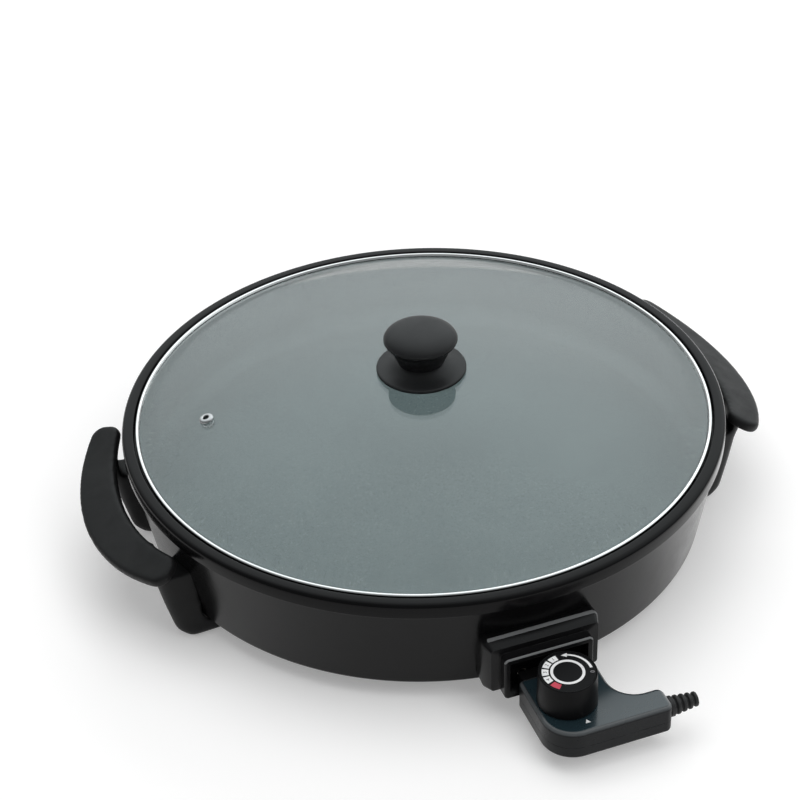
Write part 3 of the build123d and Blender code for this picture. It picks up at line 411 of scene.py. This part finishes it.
# %% metal finishes
def metal_finish(name, base, stain, rough, rough_drift, line_pitch, line_depth, patch_size):
    material, tree, shader = start_finish(name, base, rough)
    shader.inputs["Metallic"].default_value = 1
    lathe_out = use_group(tree, lathe, Line_Pitch=line_pitch)
    haze_out = use_group(tree, haze, Patch_Size=patch_size)
    tone = blend(tree, haze_out["Haze"], (*base, 1), (*stain, 1))
    tree.links.new(tone, shader.inputs["Base Color"])
    dull = maths(tree, "MULTIPLY_ADD", haze_out["Haze"], rough_drift, rough)
    dull = maths(tree, "MULTIPLY_ADD", lathe_out["Tone"], 0.05, dull)
    tree.links.new(dull, shader.inputs["Roughness"])
    bump = place(tree, "Bump", Strength=0.25, Distance=line_depth, Height=lathe_out["Height"])
    tree.links.new(bump.outputs[0], shader.inputs["Normal"])
    return material


bright_steel = metal_finish(
    "bright_steel", (0.80, 0.80, 0.80), (0.74, 0.74, 0.735),
    rough=0.12, rough_drift=0.10, line_pitch=0.25, line_depth=0.00002, patch_size=18.0)
vent_steel = metal_finish(
    "vent_steel", (0.50, 0.505, 0.51), (0.38, 0.385, 0.39),
    rough=0.16, rough_drift=0.12, line_pitch=0.2, line_depth=0.00002, patch_size=3.0)
zinc_plate = metal_finish(
    "zinc_plate", (0.56, 0.56, 0.54), (0.47, 0.46, 0.42),
    rough=0.32, rough_drift=0.16, line_pitch=0.4, line_depth=0.00003, patch_size=5.0)
bare_brass = metal_finish(
    "bare_brass", (0.71, 0.55, 0.26), (0.52, 0.37, 0.17),
    rough=0.26, rough_drift=0.18, line_pitch=0.3, line_depth=0.00003, patch_size=6.0)
element_steel = metal_finish(
    "element_steel", (0.25, 0.22, 0.20), (0.10, 0.10, 0.125),
    rough=0.42, rough_drift=0.20, line_pitch=0.5, line_depth=0.00005, patch_size=12.0)
print("metals:", bright_steel.name, zinc_plate.name, bare_brass.name, element_steel.name)

# %% [markdown]
# ## Ceramic, print and lamp
# The beads on the element and the switch's insulators are unglazed ceramic, chalky and slightly
# specked. The dial's print is a thin matt ink, so its colour is broken a little by the surface
# under it. The lamp is a clear red plastic lens.

# %% chalky and printed finishes
def chalky_finish(name, base, speck, rough, grain_size, grain_depth):
    material, tree, shader = start_finish(name, base, rough)
    skin_out = use_group(tree, skin, Grain_Size=grain_size)
    haze_out = use_group(tree, haze, Patch_Size=4.0)
    tone = blend(tree, haze_out["Haze"], (*base, 1), (*speck, 1))
    tree.links.new(tone, shader.inputs["Base Color"])
    dull = maths(tree, "MULTIPLY_ADD", skin_out["Tone"], 0.12, rough)
    tree.links.new(dull, shader.inputs["Roughness"])
    bump = place(tree, "Bump", Strength=0.3, Distance=grain_depth, Height=skin_out["Height"])
    tree.links.new(bump.outputs[0], shader.inputs["Normal"])
    return material


bead_ceramic = chalky_finish(
    "bead_ceramic", (0.72, 0.69, 0.62), (0.62, 0.58, 0.50),
    rough=0.68, grain_size=0.3, grain_depth=0.00006)
print_white = chalky_finish(
    "print_white", (0.80, 0.81, 0.81), (0.70, 0.71, 0.72),
    rough=0.45, grain_size=0.3, grain_depth=0.00002)
print_red = chalky_finish(
    "print_red", (0.52, 0.05, 0.085), (0.40, 0.04, 0.06),
    rough=0.45, grain_size=0.3, grain_depth=0.00002)
print_grey = chalky_finish(
    "print_grey", (0.30, 0.30, 0.31), (0.22, 0.22, 0.23),
    rough=0.45, grain_size=0.3, grain_depth=0.00002)
print_dark = chalky_finish(
    "print_dark", (0.035, 0.035, 0.037), (0.05, 0.05, 0.05),
    rough=0.45, grain_size=0.3, grain_depth=0.00002)

lamp_red, tree, shader = start_finish("lamp_red", (0.55, 0.02, 0.015), 0.12)
skin_out = use_group(tree, skin, Grain_Size=0.5)
haze_out = use_group(tree, haze, Patch_Size=2.0)
lamp_tone = blend(tree, haze_out["Haze"], (0.55, 0.02, 0.015, 1), (0.42, 0.012, 0.01, 1))
tree.links.new(lamp_tone, shader.inputs["Base Color"])
dull = maths(tree, "MULTIPLY_ADD", skin_out["Tone"], 0.08, 0.10)
tree.links.new(dull, shader.inputs["Roughness"])
shader.inputs["Transmission Weight"].default_value = 0.35
shader.inputs["Coat Weight"].default_value = 0.5
print("ceramic, print and lamp finishes made")

# %% [markdown]
# ## Glass
# The lid is clear toughened glass, a little blue-green in its thickness. Real refraction would
# also stop the lamps' light at the lid, since a path tracer finds hardly any light through a lens.
# So rays that test for shadow see a plain transparent tint instead, and the dish under the lid is
# lit as it is in the room.

# %% lid glass
clear_glass, tree, shader = start_finish("clear_glass", (0.955, 0.985, 0.98), 0.0)
shader.inputs["Transmission Weight"].default_value = 1.0
shader.inputs["IOR"].default_value = 1.5
shader.inputs["Specular IOR Level"].default_value = 0.2
haze_out = use_group(tree, haze, Patch_Size=45.0)
dull = maths(tree, "MULTIPLY_ADD", haze_out["Haze"], 0.035, 0.004)
tree.links.new(dull, shader.inputs["Roughness"])
glass_tone = blend(tree, haze_out["Haze"], (0.955, 0.985, 0.98, 1), (0.94, 0.972, 0.968, 1))
tree.links.new(glass_tone, shader.inputs["Base Color"])
let_light = place(tree, "BsdfTransparent", Color=(0.94, 0.97, 0.965, 1))
ray = place(tree, "LightPath").outputs
pane = place(tree, "MixShader",
             n0=ray["Is Shadow Ray"], n1=shader.outputs[0], n2=let_light.outputs[0])
tree.links.new(pane.outputs[0], tree.nodes["Material Output"].inputs["Surface"])
print("glass made")

# %% [markdown]
# ## Finishes on the CAD nodes
# A CAD node whose shape is right keeps its mesh and only takes a better material. Each node is
# paired with its finish here, and pieces made later take theirs when they are made.

# %% dress the CAD nodes
finish_of = {
    element_steel: ["heating_element"],
    bead_ceramic: ["element_insulators", "blade_insulators"],
    bright_steel: ["terminal_pins", "probe_rod", "dial_spindle"],
    phenolic_black: ["terminal_carrier"],
    zinc_plate: ["shroud_screws", "handle_screws", "knob_washer", "knob_screw", "housing_screws",
                 "switch_frame"],
    gasket_silicone: ["knob_gasket"],
    shell_black: ["thermostat_cover", "thermostat_base"],
    bare_brass: ["contact_sleeves", "spindle_bush", "contact_blades"],
    dial_black: ["dial_face"],
}
for finish, nodes in finish_of.items():
    for node in nodes:
        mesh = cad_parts[node].data
        mesh.materials.clear()
        mesh.materials.append(finish)
print("dressed nodes:", sum(len(nodes) for nodes in finish_of.values()))

# %% [markdown]
# ## Turned pieces
# Most of this object is round: the pan, the lid with its band, the knob, the dial and the cord's
# sleeve. Each could start as a cylinder, but a lathe or a spinning former makes the real ones from
# one half-section, and so do these helpers. A plane is merged to one vertex, the vertex is extruded
# from corner to corner, the corners are rounded with a vertex bevel, and the section is spun.

# %% drawing and spinning a section
def pick(piece, wanted, kind="VERT"):
    """Selects the vertices, or the faces by their middles, whose place the test accepts."""
    bpy.ops.mesh.select_mode(type=kind)
    bpy.ops.mesh.select_all(action="DESELECT")
    mesh = bmesh.from_edit_mesh(piece.data)
    for element in mesh.verts if kind == "VERT" else mesh.faces:
        spot = element.co if kind == "VERT" else element.calc_center_median()
        element.select_set(bool(wanted(spot)))
    mesh.select_flush_mode()
    bmesh.update_edit_mesh(piece.data)


def draw_section(name, corners, closed=False, heading=0.0):
    """Corners are (radius, height, cut-back of the rounding) in millimetres."""
    spots = [Vector((r * cos(heading), r * sin(heading), z)) * MM for r, z, _ in corners]
    bpy.ops.object.select_all(action="DESELECT")
    bpy.ops.mesh.primitive_plane_add(size=MM)
    piece = bpy.context.object
    piece.name = piece.data.name = name
    bpy.ops.object.mode_set(mode="EDIT")
    bpy.ops.mesh.select_mode(type="VERT")
    bpy.ops.mesh.select_all(action="SELECT")
    bpy.ops.mesh.merge(type="CENTER")
    bpy.ops.transform.translate(value=spots[0])
    for start, end in zip(spots, spots[1:]):
        bpy.ops.mesh.extrude_region_move(TRANSFORM_OT_translate={"value": end - start})
    near = 0.02 * MM
    if closed:
        pick(piece, lambda co: min((co - spots[0]).length, (co - spots[-1]).length) < near)
        bpy.ops.mesh.edge_face_add()
    for spot, corner in zip(spots, corners):
        if corner[2]:
            pick(piece, lambda co: (co - spot).length < near)
            bpy.ops.mesh.bevel(offset=corner[2] * MM, segments=6, affect="VERTICES")
    return piece


def spin_section(piece, steps, turn=2 * pi):
    bpy.ops.mesh.select_all(action="SELECT")
    bpy.ops.mesh.spin(steps=steps, angle=turn, center=(0, 0, 0), axis=(0, 0, 1))
    bpy.ops.mesh.select_all(action="SELECT")
    bpy.ops.mesh.remove_doubles(threshold=0.002 * MM)
    bpy.ops.mesh.normals_make_consistent(inside=False)
    bpy.ops.object.mode_set(mode="OBJECT")


def choose(*pieces):
    bpy.ops.object.select_all(action="DESELECT")
    for piece in pieces:
        piece.select_set(True)
    bpy.context.view_layer.objects.active = pieces[0]


def apply_modifier(piece, kind, **settings):
    modifier = piece.modifiers.new(kind.lower(), kind)
    for key, value in settings.items():
        setattr(modifier, key, value)
    choose(piece)
    bpy.ops.object.modifier_apply(modifier=modifier.name)


def hand_over(piece, finish, body, slot, *nodes, sharp=34):
    """Smooths a finished piece, gives it its finish and seats it on its body."""
    choose(piece)
    bpy.ops.object.shade_smooth_by_angle(angle=radians(sharp))
    piece.data.materials.clear()
    piece.data.materials.append(finish)
    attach(piece, body)
    if nodes:
        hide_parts(*nodes)
    print(piece.name, len(piece.data.polygons), "faces on", body)


# %% [markdown]
# ## Pan
# The pan is one casting: a dish with a ledge for the lid, a rolled rim band, a wall and a skirt
# that hides the element. The CAD node has all of it, but its triangles show along the rim against
# a white floor, so the section is spun again with more steps and with the wall's full taper. The
# rib that holds the element is an open ring, and the boss for the probe is a block, both joined to
# the shell.

# %% pan shell
pan_section = [
    (0, 0, 0), (186, 0, 13.2), (189, 49, 0.6), (192.3, 49, 0.4), (192.3, 55, 1.0), (200, 55, 3.0),
    (200, 44.5, 1.0), (197.5, 44.5, 1.2), (186.6, -20.6, 3.2), (182.5, -20.6, 0.7),
    (182.5, -3.5, 3.0), (0, -3.5, 0),
]
rim_steps = 240
pan_shell = draw_section("pan_shell", pan_section)
spin_section(pan_shell, rim_steps)
print("shell:", len(pan_shell.data.polygons), "faces")

# %% element rib and probe boss
rib_middle, rib_open = 118, 41
rib_gap = asin(rib_open / rib_middle)
rib_section = [(110, -3.3, 0), (126, -3.3, 0), (126, -8, 1.0), (110, -8, 1.0)]
element_rib = draw_section("element_rib", rib_section, closed=True, heading=-pi / 2 - rib_gap)
bpy.ops.mesh.select_all(action="SELECT")
bpy.ops.mesh.edge_face_add()
spin_section(element_rib, 150, 2 * (pi - rib_gap))
choose(pan_shell, element_rib)
bpy.ops.object.join()
bpy.ops.object.mode_set(mode="EDIT")
bpy.ops.mesh.select_all(action="DESELECT")
boss_spot, boss_size = (0, -0.1583, -0.009), (13, 52.6, 11)
bpy.ops.mesh.primitive_cube_add(size=MM, location=boss_spot, scale=boss_size)
bpy.ops.mesh.bevel(offset=1.2 * MM, segments=3, affect="EDGES")
bpy.ops.object.mode_set(mode="OBJECT")
hand_over(pan_shell, pan_coats, "pan", "pan_coating", "pan_body")

# %% [markdown]
# ## Lid glass
# The dome is a cap of a large ball. A sphere is added at the dome's own radius and bisected, so
# only the cap is left. The holes for the knob's screw and the vent are opened by deleting a few
# faces and bridging the ragged edge to a neat ring. Solidify then gives the glass its thickness,
# and a second bisect grinds the lower edge flat, where the band holds it.

# %% dome
lip_r, lip_z, dome_rise, glass_r = 187.8, 53.55, 31.4, 189.65
glass_thick, ground_z = 4.0, 50.65
dome_r = (lip_r**2 + dome_rise**2) / (2 * dome_rise)
dome_top = lip_z + dome_rise


def dome_z(r):
    return dome_top - dome_r + sqrt(dome_r**2 - r**2)


bpy.ops.object.select_all(action="DESELECT")
bpy.ops.mesh.primitive_uv_sphere_add(segments=224, ring_count=240, radius=dome_r * MM,
                                     location=(0, 0, (dome_top - dome_r) * MM))
lid_dome = bpy.context.object
lid_dome.name = lid_dome.data.name = "lid_dome"
bpy.ops.object.transform_apply(location=True, rotation=False, scale=False)
bpy.ops.object.mode_set(mode="EDIT")
bpy.ops.mesh.select_all(action="SELECT")
bpy.ops.mesh.bisect(plane_co=(0, 0, dome_z(glass_r) * MM), plane_no=(0, 0, 1), clear_inner=True)


def pierce(piece, centre, normal, hole_r, clear_r):
    pick(piece, lambda co: (co - centre).length < clear_r, "FACE")
    bpy.ops.mesh.delete(type="FACE")
    bpy.ops.mesh.select_mode(type="EDGE")
    turn = normal.to_track_quat("Z", "Y").to_euler()
    bpy.ops.mesh.primitive_circle_add(vertices=40, radius=hole_r, location=centre, rotation=turn)
    mesh = bmesh.from_edit_mesh(piece.data)
    for edge in mesh.edges:
        middle = (edge.verts[0].co + edge.verts[1].co) / 2
        edge.select_set(len(edge.link_faces) < 2 and (middle - centre).length < 2.5 * clear_r)
    bmesh.update_edit_mesh(piece.data)
    bpy.ops.mesh.bridge_edge_loops()


vent_turn, vent_r = radians(170.3), 143.5
vent_spot = Vector((cos(vent_turn) * vent_r, sin(vent_turn) * vent_r, dome_z(vent_r))) * MM
vent_normal = (vent_spot - Vector((0, 0, dome_top - dome_r)) * MM).normalized()
dome_apex = Vector((0, 0, dome_top)) * MM
pierce(lid_dome, vent_spot, vent_normal, hole_r=0.0036, clear_r=0.0085)
pierce(lid_dome, dome_apex, Vector((0, 0, 1)), hole_r=0.0033, clear_r=0.0100)
bpy.ops.mesh.select_all(action="SELECT")
bpy.ops.mesh.normals_make_consistent(inside=False)
bpy.ops.object.mode_set(mode="OBJECT")
apply_modifier(lid_dome, "SOLIDIFY", thickness=glass_thick * MM, offset=-1, use_even_offset=True)
bpy.ops.object.mode_set(mode="EDIT")
bpy.ops.mesh.select_all(action="SELECT")
bpy.ops.mesh.bisect(plane_co=(0, 0, ground_z * MM), plane_no=(0, 0, 1), clear_inner=True)
bpy.ops.mesh.bridge_edge_loops()
bpy.ops.object.mode_set(mode="OBJECT")
hand_over(lid_dome, clear_glass, "lid", "lid_glass", "lid_glass", sharp=40)

# %% [markdown]
# ## Lid band and vent
# The band is a strip of stainless steel rolled round the edge of the glass, so its section is a
# narrow U with soft corners. The vent is a steel eyelet pressed through the glass: a thick rounded
# ring above, a neck, and a small flange below. It is drawn upright and then turned to the dome.

# %% band
band_section = [
    (191, 49.3, 1.1), (191, 55.1, 1.0), (189.2, 55.3, 0.5), (188.1, 53.65, 0.3),
    (188.6, 53.45, 0.1), (189.8, 53.6, 0.3), (189.8, 50.4, 0.3), (187.8, 50.4, 0.4),
    (187.8, 49.3, 0.5),
]
rolled_band = draw_section("rolled_band", band_section, closed=True)
spin_section(rolled_band, rim_steps)
hand_over(rolled_band, bright_steel, "lid", "bright_steel", "lid_band")

# %% vent
vent_section = [
    (1.9, -6.4, 0.3), (1.9, 2.0, 0.6), (3.9, 2.1, 0.9), (5.0, 1.0, 0.6), (5.0, 0.0, 0.2),
    (3.4, 0.0, 0.1), (3.4, -5.2, 0.1), (3.9, -5.2, 0.3), (3.9, -6.4, 0.4),
]
steam_vent = draw_section("steam_vent", vent_section, closed=True)
spin_section(steam_vent, 64)
vent_tilt = vent_normal.to_track_quat("Z", "Y").to_matrix().to_4x4()
steam_vent.matrix_world = Matrix.Translation(vent_spot) @ vent_tilt
choose(steam_vent)
bpy.ops.object.transform_apply()
hand_over(steam_vent, vent_steel, "lid", "bright_steel", "vent_eyelet")

# %% [markdown]
# ## Lid knob
# The knob is a smooth moulded mushroom on a wide thin saucer. A section with bevelled corners would
# leave a hard line round the crown, so here the section is only a coarse row of control points,
# spun in few steps, and Subdivision Surface rounds it in both directions.

# %% knob and saucer
cap_section = [
    (0, 115.6, 0), (10, 115.3, 0), (17.6, 114.1, 0), (21.9, 112.1, 0), (24.0, 110.0, 0),
    (24.5, 108.3, 0), (24.1, 106.9, 0), (22.6, 105.6, 0), (20.8, 104.5, 0), (19.8, 102.4, 0),
    (18.9, 99.4, 0), (17.5, 96.4, 0), (16.3, 94.0, 0), (15.8, 92.45, 0), (14.6, 92.35, 0),
    (0, 92.35, 0),
]
saucer_section = [
    (3.4, 92.3, 0), (14.0, 92.3, 0), (16.0, 92.1, 0), (18.4, 90.2, 0), (22.5, 88.0, 0),
    (27.5, 87.2, 0), (29.3, 87.0, 0), (29.9, 86.2, 0), (29.8, 84.8, 0), (29.0, 84.45, 0),
    (20, 84.95, 0), (10.3, 85.2, 0), (3.4, 86.3, 0),
]
knob_cap = draw_section("knob_cap", cap_section)
spin_section(knob_cap, 40)
apply_modifier(knob_cap, "SUBSURF", levels=3, render_levels=3)
hand_over(knob_cap, knob_black, "lid", "knob_black", "lid_knob", sharp=60)
knob_saucer = draw_section("knob_saucer", saucer_section, closed=True)
spin_section(knob_saucer, 40)
apply_modifier(knob_saucer, "SUBSURF", levels=3, render_levels=3)
hand_over(knob_saucer, knob_black, "lid", "knob_black", "knob_base", sharp=60)

# %% [markdown]
# ## Handles and socket guard
# The handles are thick phenolic mouldings whose blade flows into the legs, with no crisp line
# between them. A copy of the CAD node is welded, remeshed in small voxels and smoothed, which melts
# the joint as a mould does. The socket's guard keeps its flat tiers, so its copy only has its edges
# rounded by a bevel that follows the angle between faces. Its foremost edges that face up or to the
# right get a painted highlight, a pale colour where light would catch them, and an attribute on
# their faces tells the material where. What lies against the CAD's wall is drawn a little inwards,
# so that all three meet the wall that was spun above.

# %% welded copies of CAD nodes
cad_foot_r, cad_foot_z, cad_top_r, cad_top_z = 0.191, -0.023, 0.196, 0.0445
touch, draw_in = 0.4 * MM, 0.979


def cad_wall_r(z):
    return cad_foot_r + (z - cad_foot_z) * (cad_top_r - cad_foot_r) / (cad_top_z - cad_foot_z)


def welded_copy(node, name):
    choose(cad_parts[node])
    bpy.ops.object.duplicate()
    piece = bpy.context.object
    piece.name = piece.data.name = name
    bpy.ops.object.mode_set(mode="EDIT")
    bpy.ops.mesh.select_all(action="SELECT")
    bpy.ops.mesh.remove_doubles(threshold=0.002 * MM)
    pick(piece, lambda co: co.xy.length < cad_wall_r(co.z) + touch)
    print("against the wall:", piece.data.total_vert_sel, "vertices")
    bpy.ops.transform.resize(value=(draw_in, draw_in, 1), center_override=(0, 0, 0))
    bpy.ops.object.mode_set(mode="OBJECT")
    return piece


for side in ("left", "right"):
    grip = welded_copy("handle_" + side, "grip_" + side)
    apply_modifier(grip, "REMESH", mode="VOXEL", voxel_size=1.0 * MM, adaptivity=0)
    apply_modifier(grip, "SMOOTH", factor=0.5, iterations=24)
    hand_over(grip, phenolic_black, "pan", "black_phenolic", "handle_" + side, sharp=70)

# %% socket guard with painted edge highlights
highlight_bevel_width = 1.3 * MM
socket_guard = welded_copy("socket_shroud", "socket_guard")
bpy.ops.object.mode_set(mode="EDIT")
bpy.ops.mesh.dissolve_limited(angle_limit=radians(1))
bpy.ops.mesh.select_mode(type="EDGE")
bpy.ops.mesh.select_all(action="DESELECT")
mesh = bmesh.from_edit_mesh(socket_guard.data)
# The convex edges that face up or to the right, where the light falls, are picked for the painted
# highlight.
for edge in mesh.edges:
    if len(edge.link_faces) == 2 and edge.is_convex:
        side, slope = sorted((face.normal for face in edge.link_faces), key=lambda n: -n.y)
        up_or_right = abs(side.y) < 0.2 and side.x + side.z > 0.7
        edge.select_set(up_or_right and -0.97 < slope.y < -0.3)
bmesh.update_edit_mesh(socket_guard.data)
print("polished edges:", sum(edge.select for edge in mesh.edges))
bpy.ops.mesh.bevel(offset=highlight_bevel_width, segments=3, affect="EDGES")
bpy.ops.object.mode_set(mode="OBJECT")
collar_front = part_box("socket_shroud")[0][1]
# The bevelled edges, and the foremost faces that lean upwards, are marked for the painted highlight.
painted_highlight = socket_guard.data.attributes.new("painted_highlight", "FLOAT", "FACE")
for face, mark in zip(socket_guard.data.polygons, painted_highlight.data):
    leaning = face.normal.z > 0.2 and face.normal.y > -0.97
    foremost = face.center.y < collar_front + highlight_bevel_width
    mark.value = float(face.select or (leaning and foremost))
apply_modifier(socket_guard, "BEVEL", width=0.6 * MM, segments=3, limit_method="ANGLE",
               angle_limit=radians(40))
hand_over(socket_guard, guard_black, "pan", "black_phenolic", "socket_shroud", sharp=50)

# %% [markdown]
# ## Dial
# The dial is a tall turned knob with a slightly tapered side and a narrow raised lip round its
# face. The print on the face is modelled as thin raised ink, because it is read up close: a ring,
# a scale of four steps with plain figures, one red step, an arrow that shows which way is hotter,
# and a small nought for off. Each mark is a grid of faces bent round the dial's axis.

# %% dial knob
dial_spot = Vector((0, -237, 0)) * MM
dial_section = [
    (0, 19.6, 0), (16.6, 19.6, 0.3), (16.9, 21.5, 0.3), (17.6, 21.5, 0.7), (18.25, -0.4, 0.5),
    (17.2, -0.4, 0.4), (16.8, 17.0, 0.5), (0, 17.0, 0),
]
dial_grip = draw_section("dial_grip", dial_section)
spin_section(dial_grip, 128)
dial_grip.location = dial_spot
choose(dial_grip)
bpy.ops.object.transform_apply()
hand_over(dial_grip, dial_black, "dial", "housing_black", "dial_knob")

# %% dial marks
face_z, ink_sunk, ink_thick = 21.0, 0.05, 0.13


def ink_mark(name, finish, inner, outer, start, end, taper=0.0):
    """A thin block of ink between two radii and two angles (degrees), its end thinned by taper."""
    steps = max(4, int(abs(end - start) / 3))
    bpy.ops.object.select_all(action="DESELECT")
    bpy.ops.mesh.primitive_grid_add(x_subdivisions=steps, y_subdivisions=1, size=1)
    mark = bpy.context.object
    mark.name = mark.data.name = name
    for vertex in mark.data.vertices:
        share = vertex.co.x + 0.5
        middle, half = (inner + outer) / 2, (outer - inner) / 2 * (1 - taper * share)
        reach = middle + 2 * vertex.co.y * half
        angle = radians(start + (end - start) * share)
        spot = Vector((reach * cos(angle), reach * sin(angle), face_z - ink_sunk)) * MM
        vertex.co = spot + dial_spot
    bpy.ops.object.mode_set(mode="EDIT")
    bpy.ops.mesh.select_all(action="SELECT")
    bpy.ops.mesh.extrude_region_move(TRANSFORM_OT_translate={"value": (0, 0, ink_thick * MM)})
    bpy.ops.mesh.select_all(action="SELECT")
    bpy.ops.mesh.remove_doubles(threshold=0.002 * MM)
    bpy.ops.mesh.normals_make_consistent(inside=False)
    bpy.ops.object.mode_set(mode="OBJECT")
    hand_over(mark, finish, "dial", "dial_print")


scale_turn = -18.9
step_middles, step_half = (125, 152, 179, 206), 11
red_middle, red_half = 235, 12
step_inner, step_outer = 11.3, 15.3
ink_mark("dial_ring", print_white, 8.6, 10.3, 0, 360)
for number, middle in enumerate(step_middles, start=1):
    ink_mark(f"dial_step_{number}", print_white, step_inner, step_outer,
             middle + scale_turn - step_half, middle + scale_turn + step_half)
ink_mark("dial_step_red", print_red, step_inner, step_outer,
         red_middle + scale_turn - red_half, red_middle + scale_turn + red_half)
ink_mark("dial_arrow_tail", print_white, 13.6, 15.2, 12 + scale_turn, 88 + scale_turn, taper=0.35)
ink_mark("dial_arrow_head", print_white, 12.6, 15.9, 87 + scale_turn, 101 + scale_turn, taper=0.97)


def ink_figure(text, name, finish, middle, reach, size):
    bpy.ops.object.select_all(action="DESELECT")
    bpy.ops.object.text_add()
    figure = bpy.context.object
    figure.name = name
    figure.data.body = text
    figure.data.align_x, figure.data.align_y = "CENTER", "CENTER"
    figure.data.size = size * MM
    figure.data.extrude = 0.05 * MM
    bpy.ops.object.convert(target="MESH")
    figure = bpy.context.object
    figure.data.name = name
    angle = radians(middle + scale_turn)
    spot = dial_spot + Vector((reach * cos(angle), reach * sin(angle), face_z + 0.1)) * MM
    figure.matrix_world = Matrix.Translation(spot) @ Matrix.Rotation(angle - pi / 2, 4, "Z")
    bpy.ops.object.transform_apply()
    bpy.ops.object.mode_set(mode="EDIT")
    bpy.ops.mesh.select_all(action="SELECT")
    bpy.ops.mesh.remove_doubles(threshold=0.0005 * MM)
    bpy.ops.mesh.normals_make_consistent(inside=False)
    bpy.ops.object.mode_set(mode="OBJECT")
    hand_over(figure, finish, "dial", "dial_print")


for number, middle in enumerate(step_middles, start=1):
    ink_figure(str(number), f"dial_figure_{number}", print_dark, middle, reach=13.3, size=3.2)
ink_figure("0", "dial_figure_off", print_grey, middle=-2, reach=14.3, size=3.6)

# %% [markdown]
# ## Plug details
# A small white triangle is printed on the plug's top, in front of the dial, and shows the setting.
# The cord's sleeve is soft and ribbed, so its ribs are rounder than the CAD's, and it is spun
# upright and then laid along the arm. The lamp's lens is a low dome.

# %% pointer, sleeve and lens
bpy.ops.object.select_all(action="DESELECT")
pointer_spot, pointer_r = (0.0035, -0.2585, -0.00105), 1.9 * MM
bpy.ops.mesh.primitive_circle_add(vertices=3, radius=pointer_r, fill_type="NGON",
                                  location=pointer_spot)
pointer = bpy.context.object
pointer.name = pointer.data.name = "setting_pointer"
bpy.ops.object.transform_apply()
bpy.ops.object.mode_set(mode="EDIT")
bpy.ops.mesh.select_all(action="SELECT")
bpy.ops.mesh.extrude_region_move(TRANSFORM_OT_translate={"value": (0, 0, ink_thick * MM)})
bpy.ops.mesh.select_all(action="SELECT")
bpy.ops.mesh.normals_make_consistent(inside=False)
bpy.ops.object.mode_set(mode="OBJECT")
hand_over(pointer, print_white, "thermostat", "dial_print")

sleeve_section = [(3.2, -4.0, 0), (4.5, -4.0, 0), (4.5, 0.2, 0), (6.3, 0.2, 0.4), (6.4, 3.2, 0.5)]
for rib in range(4):
    rib_r, rib_x = 6.0 - 0.45 * rib, 3.2 + 4.0 * rib
    sleeve_section += [(rib_r - 1.5, rib_x + 0.2, 0.3), (rib_r - 1.6, rib_x + 1.5, 0.4),
                       (rib_r, rib_x + 1.9, 0.7), (rib_r - 0.1, rib_x + 3.9, 0.7)]
sleeve_section += [(3.2, 19.1, 0.4)]
cord_sleeve = draw_section("cord_sleeve", sleeve_section, closed=True)
spin_section(cord_sleeve, 64)
arm_end = Vector((56, -257.25, -10)) * MM
cord_sleeve.matrix_world = Matrix.Translation(arm_end) @ Matrix.Rotation(pi / 2, 4, "Y")
choose(cord_sleeve)
bpy.ops.object.transform_apply()
hand_over(cord_sleeve, sleeve_rubber, "thermostat", "relief_rubber", "strain_relief")

lens_section = [
    (0, 0.35, 0), (1.2, 0.25, 0.4), (2.1, -0.25, 0.4), (2.4, -0.9, 0.2), (2.4, -3.2, 0),
    (3.0, -3.2, 0.1), (3.0, -4.2, 0.1), (0, -4.2, 0),
]
lamp_lens = draw_section("lamp_lens", lens_section)
spin_section(lamp_lens, 48)
lens_spot = Vector((14, -220.3, 0)) * MM
lamp_lens.location = lens_spot
choose(lamp_lens)
bpy.ops.object.transform_apply()
hand_over(lamp_lens, lamp_red, "thermostat", "lamp_lens", "indicator_lamp")
